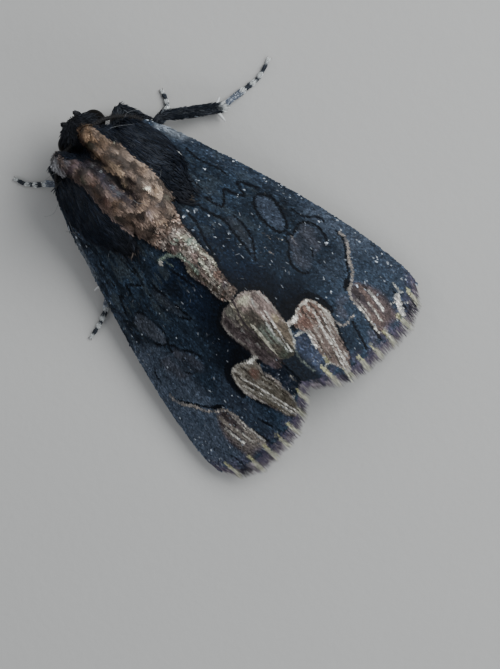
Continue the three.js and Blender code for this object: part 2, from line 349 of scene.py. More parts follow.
def stroke(x, y, points, width, soft=0.05, closed=False):
    """1 within half the width of a drawn line, falling to 0 over the softness."""
    line = rounded(points, closed)
    line = np.concatenate([line, line[:1]]) if closed else line
    return 1.0 - ease(gap_to(x, y, line), width / 2 - soft / 2, width / 2 + soft / 2)


def filled(x, y, points, soft=0.06):
    """1 inside a closed outline and 0 outside, eased over the softness: the distance to the
    outline, given its sign by how often a line to the side crosses the outline."""
    line = rounded(points, True)
    line = np.concatenate([line, line[:1]])
    gap = gap_to(x, y, line)
    a, b = line[:-1], line[1:]
    level = (a[:, 1] > y[:, None]) != (b[:, 1] > y[:, None])
    rise = np.where(b[:, 1] == a[:, 1], 1.0, b[:, 1] - a[:, 1])
    cross = a[:, 0] + (y[:, None] - a[:, 1]) * (b[:, 0] - a[:, 0]) / rise
    inside = (level & (x[:, None] < cross)).sum(1) % 2 == 1
    return ease(np.where(inside, gap, -gap), -soft / 2, soft / 2)


def alike(tone, places):
    """The same tone for each of the places."""
    return np.tile(tone, (len(places), 1))


def lay(colour, tone, mask):
    """Paints a tone over the colours wherever the mask is 1."""
    return colour + (np.asarray(tone, float) - colour) * np.asarray(mask)[:, None]


def dabbed(colour, x, y, dabs):
    """Paints soft uneven dabs: the middle, the half sizes, the tone and the strength of each.
    A dab fades as exp(-r^4), where r is the distance from its middle in half sizes."""
    warped_x = x + 0.16 * (mottle(x, y, 0.2, 51) - 0.5)
    warped_y = y + 0.2 * (mottle(x, y, 0.2, 52) - 0.5)
    for across, back, wide, long, tone, strength in dabs:
        reach = ((warped_x - across) / wide) ** 2 + ((warped_y - back) / long) ** 2
        colour = lay(colour, tone, strength * np.exp(-(reach ** 2)))
    return colour


# Linear colours of the scales.
SLATE = (0.015, 0.0245, 0.0395)
DEEP = (0.0018, 0.0026, 0.0045)
VELVET = (0.0022, 0.004, 0.008)
STEEL = (0.038, 0.058, 0.086)
ASH = (0.33, 0.33, 0.3)
IVORY = (0.72, 0.69, 0.62)
CREAM = (0.5, 0.47, 0.41)
BONE = (0.25, 0.22, 0.19)
RUSSET = (0.09, 0.056, 0.042)
UMBER = (0.026, 0.019, 0.015)
VIOLET = (0.06, 0.052, 0.082)
CITRON = (0.46, 0.44, 0.24)

# Outlines of the pale dorsal stripe and of the bird-shaped patch at the inner corner.
STRIPE_EDGE = {
    "right": [(1.4, 5.0), (1.35, 5.6), (1.12, 6.15), (0.95, 6.7), (0.84, 7.15), (0.8, 7.8), (0.77, 8.3),
              (0.77, 8.95), (0.75, 9.4), (0.6, 9.8), (0.57, 10.25), (0.49, 10.65), (0.55, 11.1),
              (0.3, 11.35)],
    "left": [(1.4, 5.0), (1.25, 5.7), (1.0, 6.2), (0.85, 6.8), (0.62, 7.3), (0.44, 7.65), (0.34, 8.1),
             (0.4, 8.6), (0.58, 8.95), (0.54, 9.45), (0.4, 10.0), (0.41, 10.5), (0.37, 11.0), (0.2, 11.25)],
}
INNER_PRONG = {
    "right": [(-0.6, 11.5), (0.34, 11.45), (0.7, 11.5), (0.98, 11.74), (1.24, 12.0), (1.28, 12.4),
              (1.24, 12.9), (1.18, 13.4), (1.1, 13.85), (1.06, 14.2), (0.95, 14.6), (0.68, 15.1),
              (0.4, 15.4), (0.1, 15.45), (-0.2, 15.25), (-0.6, 15.0)],
    "left": [(-0.2, 11.5), (0.3, 11.5), (0.56, 11.45), (1.03, 11.74), (1.23, 12.05), (1.28, 12.5),
             (1.27, 13.0), (1.23, 13.5), (1.17, 13.85), (1.2, 14.2), (1.08, 14.65), (0.95, 15.0),
             (0.8, 15.35), (0.5, 15.5), (0.1, 15.4), (-0.2, 15.3)],
}
OUTER_PRONG = [(1.08, 14.15), (1.35, 14.14), (1.72, 14.08), (2.05, 13.9), (2.42, 13.88), (2.7, 14.12),
               (2.86, 14.62), (2.9, 15.2), (2.76, 15.7), (2.5, 16.3), (2.3, 16.95), (2.1, 17.5),
               (1.6, 18.1), (1.47, 17.6), (1.25, 17.05), (1.22, 16.4), (1.36, 15.7), (1.46, 15.15),
               (1.28, 14.7)]
PATCH_FRONT = [(0.0, 11.35), (0.6, 11.4), (0.98, 11.68), (1.3, 11.95), (1.36, 12.5), (1.28, 13.2),
               (1.2, 13.8), (1.5, 13.98), (1.9, 13.88), (2.15, 13.72), (2.5, 13.7), (2.82, 13.95),
               (2.98, 14.5), (3.02, 15.2)]
DARK_CORNER = [(-0.6, 15.2), (0.3, 15.3), (0.72, 15.05), (1.0, 14.75), (1.2, 14.8), (1.4, 15.0),
               (1.38, 15.6), (1.22, 16.3), (1.15, 16.9), (0.85, 17.0), (0.55, 17.2), (0.2, 17.6),
               (-0.6, 17.6)]

# Black lines: points, width and whether the line closes.
BLACK_LINES = [
    ([(4.22, 8.52), (4.58, 8.8), (4.72, 9.3), (4.62, 10.0), (4.32, 10.66), (3.98, 10.78), (3.74, 10.3),
      (3.69, 9.5), (3.88, 8.82)], 0.17, True),
    ([(4.2, 11.18), (4.05, 10.95), (3.88, 11.05), (3.8, 11.4), (3.45, 11.75), (3.24, 12.25), (3.27, 12.8),
      (3.5, 13.08)], 0.15, False),
    ([(4.2, 11.2), (4.5, 11.1), (4.82, 11.0), (5.12, 11.25), (5.36, 11.75), (5.32, 12.25), (5.2, 12.6)],
     0.15, False),
    ([(4.45, 12.35), (4.1, 12.8)], 0.09, False),
    ([(2.0, 6.9), (2.12, 7.55), (2.38, 8.35), (2.3, 9.0), (2.24, 9.85), (2.12, 10.85)], 0.15, False),
    ([(2.85, 8.45), (2.88, 9.15), (2.74, 9.85), (2.42, 10.4), (2.12, 10.85)], 0.14, False),
    ([(2.5, 6.9), (2.62, 7.5), (2.8, 7.78), (3.1, 7.5), (3.38, 7.2), (3.55, 7.65), (3.85, 8.12),
      (3.92, 7.7), (4.1, 7.4), (4.35, 7.85), (4.6, 8.35)], 0.16, False),
    ([(2.6, 5.0), (2.66, 7.2)], 0.07, False),
    ([(3.42, 4.4), (3.44, 4.9), (3.57, 5.55), (3.84, 6.25), (3.95, 6.85)], 0.12, False),
    ([(1.42, 6.9), (1.38, 7.5), (1.16, 8.15), (1.0, 8.8), (0.84, 9.6)], 0.17, False),
    ([(5.03, 10.2), (5.2, 10.9), (5.66, 11.42), (5.75, 11.9)], 0.1, False),
    ([(5.85, 12.6), (5.8, 13.2), (5.4, 13.75), (5.05, 14.25), (4.72, 14.66), (4.42, 14.78)], 0.14, False),
    ([(4.6, 14.7), (4.4, 14.85), (4.3, 15.0)], 0.32, False),
    ([(3.4, 16.35), (3.22, 17.05), (3.0, 17.78)], 0.16, False),
    ([(4.02, 16.7), (3.9, 17.4), (3.8, 17.95)], 0.17, False),
    ([(4.46, 16.85), (4.34, 17.4), (4.28, 17.9)], 0.08, False),
    ([(4.85, 17.1), (4.77, 17.75)], 0.1, False),
    ([(5.88, 16.7), (5.78, 17.35), (5.72, 17.9)], 0.12, False),
    ([(2.82, 15.5), (2.68, 16.0), (2.43, 16.7), (2.1, 17.6)], 0.2, False),
]
# Pale lines: which wing, points, width, tone and strength.
PALE_LINES = [
    ("both", [(5.95, 12.75), (5.92, 13.2), (5.66, 13.66), (5.4, 13.95), (5.2, 14.35), (5.0, 14.68),
              (4.6, 14.98), (4.32, 15.15), (4.14, 15.6), (4.12, 16.2)], 0.14, BONE, 0.95),
    ("both", [(4.12, 16.0), (4.08, 16.7), (3.98, 17.4), (3.96, 17.7)], 0.09, CREAM, 0.85),
    ("both", [(4.99, 15.85), (4.96, 16.4), (4.86, 17.05)], 0.13, IVORY, 1.0),
    ("both", [(4.58, 16.3), (4.52, 16.9), (4.42, 17.35)], 0.08, CREAM, 0.85),
    ("both", [(4.3, 15.7), (4.26, 16.3), (4.2, 16.9)], 0.05, CREAM, 0.7),
    ("both", [(4.25, 17.75), (4.2, 18.2)], 0.1, CREAM, 0.9),
    ("right", [(2.84, 15.8), (2.88, 16.12), (3.15, 16.24), (3.4, 16.18), (3.66, 16.18)], 0.1, BONE, 0.75),
    ("both", [(2.46, 14.5), (2.24, 15.2), (2.02, 15.95), (1.84, 16.7), (1.6, 17.6), (1.5, 18.1)], 0.06,
     IVORY, 0.95),
    ("both", [(2.66, 14.85), (2.38, 15.6), (2.15, 16.36), (1.94, 17.0), (1.72, 17.7)], 0.05, IVORY, 0.9),
    ("right", [(2.1, 14.4), (1.95, 15.1), (1.74, 15.9)], 0.06, BONE, 0.8),
    ("right", [(1.5, 15.1), (1.42, 15.5), (1.3, 16.0)], 0.1, IVORY, 0.9),
    ("right", [(1.25, 16.6), (1.2, 16.95)], 0.16, CITRON, 0.8),
    ("left", [(1.3, 16.0), (1.26, 16.5), (1.3, 17.0)], 0.09, BONE, 0.9),
    ("right", [(0.76, 12.95), (0.61, 13.76), (0.47, 14.43), (0.31, 15.25)], 0.06, IVORY, 0.9),
    ("right", [(0.4, 13.4), (0.3, 14.0), (0.27, 14.5), (0.2, 15.1)], 0.09, ASH, 0.9),
    ("right", [(0.76, 12.0), (0.57, 12.5)], 0.08, ASH, 0.7),
    ("right", [(0.6, 12.85), (0.46, 13.3)], 0.07, CREAM, 0.8),
    ("right", [(0.6, 13.1), (0.52, 13.9), (0.4, 15.0)], 0.05, UMBER, 0.9),
    ("right", [(0.14, 12.3), (0.16, 13.24), (0.06, 14.1), (0.02, 15.1)], 0.1, UMBER, 0.8),
    ("right", [(-0.16, 13.0), (-0.19, 13.77), (-0.25, 14.3), (-0.33, 14.8)], 0.13, (0.34, 0.32, 0.25),
     0.85),
    ("left", [(0.62, 12.8), (0.66, 12.95)], 0.09, ASH, 0.6),
    ("left", [(0.84, 13.3), (0.8, 13.5)], 0.08, ASH, 0.5),
    ("left", [(0.62, 13.8), (0.6, 14.0)], 0.09, ASH, 0.6),
    ("right", [(1.06, 14.25), (0.95, 14.5), (0.81, 14.9), (0.53, 15.3)], 0.09, ASH, 0.9),
    ("right", [(0.5, 15.3), (0.36, 15.85), (0.38, 16.4), (0.44, 16.75)], 0.09, (0.15, 0.17, 0.145), 0.8),
    ("left", [(1.36, 14.5), (1.44, 15.04), (1.35, 15.35), (1.27, 15.8), (1.22, 16.1)], 0.14, BONE, 0.9),
    ("both", [(1.12, 14.25), (1.36, 14.28), (1.62, 14.2)], 0.2, IVORY, 0.9),
    ("right", [(1.02, 14.86), (1.27, 14.94), (1.44, 15.05)], 0.13, ASH, 0.9),
    ("left", [(0.56, 16.1), (0.52, 16.5)], 0.11, CREAM, 0.7),
    ("both", [(1.47, 17.55), (1.26, 17.08), (1.08, 16.98), (0.86, 17.05)], 0.08, ASH, 0.8),
    ("both", [(0.8, 16.85), (0.84, 17.2), (0.8, 17.4)], 0.11, CITRON, 0.8),
    ("right", [(6.12, 16.45), (6.08, 16.7), (6.06, 17.04)], 0.1, ASH, 1.0),
    ("right", [(5.84, 17.02), (5.66, 17.31), (5.53, 17.61), (5.42, 17.86)], 0.26, IVORY, 1.0),
    ("right", [(5.29, 17.12), (5.62, 17.16)], 0.04, CREAM, 0.8),
    ("right", [(5.72, 17.45), (6.31, 17.94)], 0.04, CREAM, 0.7),
    ("right", [(5.84, 16.9), (6.12, 17.1)], 0.06, ASH, 0.7),
    ("right", [(3.25, 10.15), (3.38, 10.5)], 0.02, BONE, 0.7),
    ("right", [(3.6, 10.7), (3.7, 11.05)], 0.02, CREAM, 0.6),
    ("right", [(4.14, 11.17), (4.0, 11.72)], 0.02, BONE, 0.7),
    ("right", [(2.86, 10.72), (2.91, 11.22)], 0.02, BONE, 0.7),
]
# The paler field of the left wing, along the costa and out to the wing tip.
TIP_FIELD = [(6.0, 9.6), (4.7, 10.3), (4.4, 11.5), (4.4, 13.3), (4.5, 14.8), (5.1, 15.9), (5.4, 17.0),
             (5.4, 18.2), (7.6, 18.2), (7.6, 9.9)]
# Single white flecks on the dark field, each a few scales wide: places and strengths.
FLECKS = {
    "right": [(3.39, 5.83, 1.0), (2.72, 6.0, 0.6), (3.58, 7.92, 0.7), (3.18, 8.63, 0.3), (3.54, 9.07, 0.3),
              (6.18, 15.07, 0.9), (6.42, 14.94, 0.8), (6.59, 15.51, 0.6), (6.54, 16.61, 0.7),
              (5.88, 16.01, 0.5), (5.24, 15.43, 0.5), (4.81, 15.24, 1.0), (3.63, 14.55, 0.8),
              (2.87, 12.41, 0.4), (5.07, 12.66, 1.0), (6.92, 15.7, 0.9), (6.85, 16.68, 0.7),
              (6.9, 17.17, 0.8), (4.45, 13.25, 0.3), (1.76, 7.0, 0.6), (1.47, 6.76, 0.7),
              (1.17, 6.82, 0.8), (1.88, 8.1, 0.4), (2.1, 8.31, 0.35), (2.13, 8.91, 0.5),
              (1.51, 8.59, 0.5), (1.52, 9.19, 0.4), (2.04, 9.75, 0.4), (1.82, 10.22, 0.35),
              (0.96, 7.66, 0.4), (0.9, 8.11, 0.4), (0.93, 8.66, 0.3), (0.95, 9.16, 0.3)],
    "left": [(6.75, 14.3, 0.8), (6.9, 16.5, 0.7), (6.8, 16.75, 0.5), (2.15, 11.8, 0.3), (3.5, 13.63, 0.5),
             (4.2, 13.9, 0.7), (3.94, 14.8, 0.5), (6.34, 16.87, 0.4), (0.99, 9.77, 0.4), (1.93, 9.8, 0.4),
             (2.31, 9.74, 0.35), (1.26, 9.59, 0.3)],
}
# Soft dabs of the stripe and of the inner prong, as for dabbed(), and the stripe's own lines.
GREENISH = (0.2, 0.245, 0.195)
STRIPE_DABS = {
    "right": [(0.47, 7.57, 0.16, 0.15, (0.5, 0.48, 0.36), 0.9),
              (0.38, 7.25, 0.11, 0.11, (0.42, 0.38, 0.29), 0.8),
              (0.02, 7.42, 0.2, 0.15, GREENISH, 0.8), (0.5, 7.9, 0.2, 0.2, GREENISH, 0.8),
              (0.6, 8.25, 0.16, 0.2, (0.26, 0.3, 0.25), 0.8),
              (0.24, 8.58, 0.2, 0.2, (0.19, 0.135, 0.118), 0.9),
              (0.34, 10.2, 0.17, 0.24, (0.155, 0.093, 0.07), 0.9),
              (0.28, 10.62, 0.18, 0.17, (0.09, 0.07, 0.08), 0.8),
              (0.09, 9.1, 0.13, 0.15, (0.012, 0.016, 0.016), 0.95),
              (0.13, 7.94, 0.1, 0.11, (0.045, 0.036, 0.02), 0.9),
              (0.3, 11.1, 0.25, 0.2, (0.22, 0.165, 0.135), 0.8)],
    "left": [(0.15, 7.22, 0.13, 0.12, (0.032, 0.026, 0.022), 0.8),
             (0.52, 8.87, 0.12, 0.14, (0.33, 0.31, 0.24), 0.9),
             (0.52, 9.2, 0.09, 0.12, (0.3, 0.27, 0.21), 0.8),
             (0.2, 7.6, 0.2, 0.2, (0.17, 0.12, 0.11), 0.7),
             (0.45, 9.8, 0.13, 0.4, (0.135, 0.105, 0.105), 0.8),
             (0.04, 11.3, 0.15, 0.15, (0.33, 0.28, 0.22), 0.7)],
}
STRIPE_LINES = [
    ("right", [(0.56, 8.1), (0.59, 8.38), (0.57, 8.66), (0.63, 8.98), (0.66, 9.32), (0.62, 9.65)], 0.13,
     (0.42, 0.4, 0.31)),
    ("right", [(0.47, 8.9), (0.51, 9.11), (0.54, 9.51), (0.62, 10.0)], 0.06, UMBER),
    ("right", [(0.28, 8.91), (0.21, 9.36), (0.06, 9.96), (0.07, 10.47)], 0.17, (0.38, 0.37, 0.29)),
    ("left", [(0.2, 8.05), (0.17, 8.5), (0.17, 8.9), (0.22, 9.3)], 0.2, GREENISH),
    ("left", [(0.37, 8.99), (0.3, 9.69), (0.15, 10.16), (0.13, 10.53), (0.06, 10.97)], 0.17,
     (0.035, 0.03, 0.02)),
]
PRONG_DABS = {
    "right": [(0.48, 11.82, 0.3, 0.27, (0.42, 0.4, 0.29), 0.9),
              (-0.08, 11.85, 0.2, 0.14, (0.05, 0.046, 0.03), 0.8),
              (0.62, 12.3, 0.2, 0.3, (0.24, 0.2, 0.17), 0.7),
              (0.12, 13.95, 0.2, 0.65, (0.125, 0.145, 0.118), 0.85),
              (0.86, 14.4, 0.2, 0.4, (0.1, 0.078, 0.056), 0.8),
              (0.9, 13.55, 0.12, 0.25, (0.24, 0.2, 0.12), 0.7),
              (0.1, 15.1, 0.35, 0.3, (0.03, 0.036, 0.026), 0.9)],
    "left": [(0.46, 11.8, 0.2, 0.35, (0.17, 0.165, 0.13), 0.85),
             (0.62, 12.35, 0.14, 0.25, (0.16, 0.14, 0.12), 0.8),
             (0.9, 15.15, 0.3, 0.25, (0.085, 0.066, 0.074), 0.7),
             (0.5, 13.4, 0.12, 0.7, (0.02, 0.015, 0.013), 0.7)],
}
# The rim of the patch, drawn inside its front edge.
RIM = [(0.1, 11.5), (0.58, 11.5), (0.92, 11.78), (1.16, 12.02), (1.2, 12.6), (1.12, 13.3), (1.05, 13.9),
       (1.2, 14.15), (1.6, 14.14), (2.0, 13.99), (2.4, 13.95), (2.66, 14.18), (2.8, 14.65), (2.84, 15.2),
       (2.7, 15.7)]
TUFTS = np.array([0.84, 1.55, 2.42, 3.28, 4.17, 5.2, 6.36])


def wing_colour(name, x, y):
    """The forewing's colour at each place of the plan, laid down as a painter would: ground,
    shadows, fills of the spots, black lines, pale lines, then stripe and patch over them."""
    fine = mottle(x, y, 0.14, 1)
    broad = mottle(x, y, 1.3, 2)
    blotch = mottle(x, y, (0.34, 0.6), 4)
    along_veins = mottle(x + 0.12 * (y - 12.0), y, (0.2, 2.6), 3)
    depth = 1.04 - 0.44 * ease(y, 7.0, 9.0) * ease(15.0 - y, 0.0, 2.0) * ease(6.2 - x, 0.0, 0.8)
    colour = alike(SLATE, x) * (depth * (0.42 + 0.62 * broad + 0.42 * blotch))[:, None]
    colour = lay(colour, STEEL, 0.5 * ease(fine, 0.52, 0.95) * (0.3 + blotch) * depth)
    near_trunk = ease(3.4 - x, 0.0, 1.2) * ease(7.6 - y, 0.0, 1.5)
    colour = lay(colour, (0.006, 0.009, 0.015), 0.8 * near_trunk)
    inner_field = ease(2.6 - x, 0.0, 1.0) * ease(y, 6.5, 8.5) * ease(14.5 - y, 0.0, 2.0)
    colour = lay(colour, (0.005, 0.01, 0.021), 0.85 * inner_field)
    outer_field = ease(y - 14.2 + 0.55 * (5.0 - x), 0.0, 1.2) * ease(x, 2.6, 3.4)
    colour = lay(colour, (0.026, 0.042, 0.066), 0.6 * outer_field * (0.4 + 1.1 * blotch))
    colour = lay(colour, STEEL, 0.5 * outer_field * ease(along_veins, 0.6, 0.95))
    past_costa = x - half_width(y)
    costa = ease(past_costa + 1.0, 0.0, 0.7)
    colour = lay(colour, (0.034, 0.046, 0.068), 0.65 * costa * (0.35 + 1.1 * fine))
    streaks = mottle(x - 0.16 * y, y, (0.16, 0.8), 14)
    basal = ease(10.6 - y, 0.0, 1.5) * ease(x, 0.9, 1.5) * (1.0 if name == "left" else 0.5)
    if name == "left":
        colour = colour * (1.25 - 0.2 * costa)[:, None]
        colour = lay(colour, (0.019, 0.019, 0.025), 0.7 * outer_field * (0.5 + 0.5 * blotch))
        colour = lay(colour, (0.064, 0.079, 0.106),
                     0.88 * filled(x, y, TIP_FIELD, 0.7) * (0.45 + 0.8 * fine))
    else:
        violet_grey = ease(x, 2.9, 3.3) * ease(4.2 - x, 0.0, 0.3) * ease(y, 14.6, 15.4)
        colour = lay(colour, (0.075, 0.068, 0.08), 0.5 * violet_grey * ease(blotch, 0.35, 0.7))
        colour = lay(colour, (0.036, 0.048, 0.068),
                     0.6 * ease(x, 3.4, 4.2) * ease(y, 12.8, 13.6) * (0.4 + 0.9 * fine))
        tip = ease(past_costa + 1.3, 0.0, 0.7) * ease(y, 10.2, 11.2) * ease(15.0 - y, 0.0, 1.5)
        colour = lay(colour, (0.06, 0.074, 0.098), 0.65 * tip * (0.4 + 0.9 * fine))
    colour = lay(colour, (0.04, 0.05, 0.053), 0.55 * basal * ease(streaks, 0.56, 0.74))
    colour = lay(colour, (0.004, 0.006, 0.009), 0.7 * basal * ease(1.0 - streaks, 0.58, 0.72))

    # Fills of the three spots of the middle field.
    oval = [(4.2, 8.6), (4.52, 8.85), (4.62, 9.35), (4.5, 10.0), (4.25, 10.58), (4.02, 10.66),
            (3.83, 10.25), (3.79, 9.5), (3.92, 8.95)]
    kidney = [(4.0, 11.2), (4.5, 11.15), (5.0, 11.2), (5.22, 11.9), (5.0, 12.5), (4.3, 12.7), (3.6, 12.95),
              (3.38, 12.3), (3.65, 11.7)]
    claw = [(2.42, 8.4), (2.8, 8.5), (2.8, 9.2), (2.62, 9.9), (2.3, 10.5), (2.3, 9.5)]
    in_oval = np.minimum(1.0, filled(x, y, oval, 0.1) * (0.5 + 0.7 * fine))
    colour = lay(colour, (0.042, 0.053, 0.076) if name == "right" else (0.056, 0.062, 0.076), 0.9 * in_oval)
    colour = lay(colour, (0.046, 0.048, 0.06), 0.9 * filled(x, y, kidney, 0.3) * (0.1 + 1.1 * blotch))
    colour = lay(colour, (0.028, 0.031, 0.037), 0.75 * filled(x, y, claw, 0.15) * (0.4 + 0.8 * fine))

    # Velvet black in front of the patch.
    colour = lay(colour, VELVET,
                 0.9 * stroke(x, y, [(0.2, 11.0), (1.5, 12.0), (1.6, 13.2), (2.3, 13.4)], 1.5, 1.4))
    tooth = [(1.15, 13.3), (1.55, 13.2), (2.1, 13.4), (2.0, 13.8), (1.55, 14.1), (1.15, 14.05)]
    colour = lay(colour, DEEP, filled(x, y, tooth, 0.3))
    whole = 1.0 if name == "right" else 0.35 + 0.65 * ease(mottle(x, y, 0.6, 15), 0.35, 0.6)
    for points, width, closed in BLACK_LINES:
        beside = stroke(x, y, points, width + 0.22, 0.12, closed)
        colour = lay(colour, STEEL, 0.3 * beside * ease(fine, 0.3, 0.7))
        colour = lay(colour, DEEP, 0.97 * whole * stroke(x, y, points, 0.84 * width, 0.06, closed))
    colour = lay(colour, DEEP, 0.98 * stroke(x, y, PATCH_FRONT, 0.4, 0.16))

    # Brown streaks run back from the subterminal line to the hind edge.
    zone = [(4.3, 15.25), (4.55, 15.08), (4.85, 15.2), (5.18, 15.7), (5.4, 16.5), (5.3, 17.2),
            (5.15, 17.85), (4.7, 17.75), (3.98, 17.9), (4.0, 17.2), (4.08, 16.5)]
    in_zone = filled(x, y, zone, 0.3)
    colour = lay(colour, (0.058, 0.045, 0.048), 0.9 * in_zone)
    streaked = (0.118, 0.083, 0.072) if name == "right" else (0.19, 0.165, 0.14)
    colour = lay(colour, streaked, 0.95 * in_zone * ease(along_veins, 0.3, 0.65) * ease(5.35 - x, 0.0, 0.5))
    colour = lay(colour, UMBER, 0.7 * in_zone * ease(0.4 - along_veins, 0.0, 0.2))
    to_edge = termen(x / half_width(y)) - y
    rear_haze = 1.0 - ease(to_edge, 0.7, 1.5)
    colour = lay(colour, VIOLET, 0.6 * rear_haze * ease(mottle(x, y, 0.35, 5), 0.4, 0.75))
    at_tuft = 1.0 - ease(np.abs(x[:, None] - TUFTS).min(1), 0.04, 0.13)
    colour = lay(colour, CITRON, 0.75 * at_tuft * (1.0 - ease(to_edge, 0.95, 1.1)) * ease(fine, 0.2, 0.5))

    # The dorsal stripe: a quilt of brown, pale and dark scales, greenish at its front.
    stripe = [(-0.8, 5.0)] + STRIPE_EDGE[name] + [(-0.8, 11.35)]
    in_stripe = filled(x, y, stripe, 0.05)
    quilt = alike((0.148, 0.11, 0.092), x)
    quilt = lay(quilt, RUSSET, 0.6 * ease(mottle(x, y, (0.3, 0.5), 6), 0.5, 0.66))
    quilt = lay(quilt, BONE, 0.55 * ease(mottle(x, y, 0.2, 7), 0.5, 0.66))
    quilt = lay(quilt, CREAM, 0.35 * ease(mottle(x, y, 0.13, 8), 0.62, 0.74))
    quilt = lay(quilt, UMBER, 0.7 * ease(mottle(x, y, (0.16, 0.24), 9), 0.64, 0.76))
    quilt = lay(quilt, (0.13, 0.085, 0.062), 0.7 * ease(7.1 - y, 0.0, 0.5))
    quilt = dabbed(quilt, x, y, STRIPE_DABS[name])
    quilt = quilt * (1.0 - 0.22 * ease(y, 8.3, 9.1) - 0.25 * ease(y, 9.6, 10.4))[:, None]
    for wing, points, width, tone in STRIPE_LINES:
        if wing == name:
            quilt = lay(quilt, tone, 0.9 * stroke(x, y, points, width, 0.08) * (0.55 + 0.6 * fine))
    colour = lay(colour, DEEP, 0.8 * stroke(x, y, STRIPE_EDGE[name], 0.4, 0.25) * ease(y, 5.8, 6.4))
    colour = lay(colour, quilt, in_stripe)
    if name == "left":
        branch = stroke(x, y, [(1.2, 7.55), (0.79, 7.6), (0.46, 7.86), (0.22, 8.1)], 0.17, 0.08)
        colour = lay(colour, GREENISH, 0.95 * branch * (0.4 + 0.7 * fine))
        colour = lay(colour, CREAM, 0.8 * stroke(x, y, [(1.2, 7.6), (1.3, 7.75)], 0.16, 0.08))
        colour = lay(colour, GREENISH,
                     0.5 * stroke(x, y, [(0.95, 7.6), (0.98, 7.9), (0.9, 8.2)], 0.06, 0.06))

    # The dark corner, blue on the right wing, then the two prongs of the patch.
    corner = filled(x, y, DARK_CORNER, 0.12)
    blue = ease(x, 0.4, 0.7) * (1.0 if name == "right" else 0.15)
    ink = lay(alike((0.004, 0.007, 0.012), x), (0.037, 0.047, 0.076), blue * (0.5 + 0.8 * blotch))
    ink = lay(ink, (0.075, 0.08, 0.1), 0.6 * ease(fine, 0.62, 0.9) * ease(x, 0.2, 0.7))
    colour = lay(colour, ink, corner)
    grain = mottle(x, y, (0.075, 0.3), 10)
    inner = filled(x, y, INNER_PRONG[name], 0.07)
    if name == "right":
        brown = lay(alike((0.185, 0.138, 0.122), x), (0.13, 0.104, 0.076), ease(y, 13.2, 14.2))
        brown = lay(brown, (0.125, 0.112, 0.086), 0.9 * ease(0.15 - x, 0.0, 0.2))
        brown = lay(brown, (0.036, 0.031, 0.023), 0.9 * ease(0.6 - x, 0.0, 0.25) * ease(y, 12.0, 12.5))
    else:
        brown = alike((0.066, 0.051, 0.05), x)
    brown = lay(brown, 0.35 * brown, 0.7 * ease(0.42 - grain, 0.0, 0.2))
    brown = lay(brown, 1.9 * brown, 0.7 * ease(grain, 0.6, 0.8))
    brown = dabbed(brown, x, y, PRONG_DABS[name])
    brown = brown * (0.75 + 0.5 * fine)[:, None]
    colour = lay(colour, brown, inner)
    outer = filled(x, y, OUTER_PRONG, 0.07)
    lean = mottle(x + 0.22 * (y - 14.0), y, (0.06, 0.5), 12)
    if name == "right":
        brown = lay(alike((0.14, 0.104, 0.088), x), (0.175, 0.108, 0.085), 0.9 * ease(15.6 - y, 0.0, 1.2))
    else:
        brown = lay(alike((0.17, 0.15, 0.122), x), (0.088, 0.076, 0.058), 0.9 * ease(y, 14.7, 15.3))
        brown = lay(brown, (0.09, 0.068, 0.066), 0.9 * ease(x - 2.78 + 0.27 * (y - 15.0), -0.05, 0.05))
    brown = lay(brown, UMBER, 0.85 * ease(lean, 0.58, 0.74))
    brown = lay(brown, CREAM, (0.7 if name == "right" else 0.4) * ease(1.0 - lean, 0.64, 0.84))
    brown = dabbed(brown, x, y, [(1.77, 14.8, 0.22, 0.3, (0.125, 0.068, 0.052), 0.8)])
    colour = lay(colour, brown, outer)
    on_patch = np.maximum(inner, outer)
    rim = stroke(x, y, RIM, 0.11, 0.08) * (0.25 + 0.85 * ease(fine, 0.25, 0.55)) * on_patch
    colour = lay(colour, BONE, 0.55 * rim * (1.0 - ease(x, 1.1, 1.3)))
    colour = lay(colour, CREAM, (0.95 if name == "right" else 0.6) * rim * ease(x, 1.1, 1.3))
    for wing, points, width, tone, strength in PALE_LINES:
        if wing in (name, "both"):
            breaks = 0.4 + 0.75 * ease(mottle(x, y, 0.2, 13), 0.25, 0.5)
            width, strength = (width, strength) if name == "right" else (0.9 * width, 0.9 * strength)
            strength = np.minimum(1.0, strength * breaks)
            colour = lay(colour, tone, strength * stroke(x, y, points, width, 0.05))
    # A painted shadow darkens the left wing along the edge of the right wing, which laps over it.
    seam = ease(seam_at(y) + 0.09 - x, 0.0, 0.09) * ease(y, 12.2, 12.8) * (name == "left")
    colour = lay(colour, DEEP, (0.3 + 0.4 * ease(y, 14.8, 15.4)) * seam)
    colour = lay(colour, DEEP, 0.95 * stroke(x, y, [(-0.3, 11.45), (0.1, 11.42), (0.5, 11.34)], 0.1, 0.08))
    colour = lay(colour, DEEP, stroke(x, y, [(1.18, 14.44), (1.14, 14.6)], 0.2, 0.06))
    colour = lay(colour, UMBER, 0.8 * stroke(x, y, [(1.08, 14.15), (1.0, 14.3)], 0.04, 0.04))
    across, back, strength = np.array(FLECKS[name]).T
    to_fleck = np.hypot(x[:, None] - across, (y[:, None] - back) * 0.7)
    colour = lay(colour, (0.5, 0.52, 0.54), (strength ** 2 * (1.0 - ease(to_fleck, 0.02, 0.045))).max(1))
    if name == "right":
        shoulder = 1.5 * ease(y, 2.3, 2.7) * ease(4.5 - y, 0.0, 1.1) * ease(past_costa + 0.45, 0.0, 0.35)
    else:
        shoulder = ease(y, 3.4, 4.2) * ease(6.4 - y, 0.0, 1.2) * ease(past_costa + 0.22, 0.0, 0.12)
    return lay(colour, (0.17, 0.19, 0.215), np.minimum(0.95, 0.7 * shoulder * ease(fine, 0.15, 0.5)))


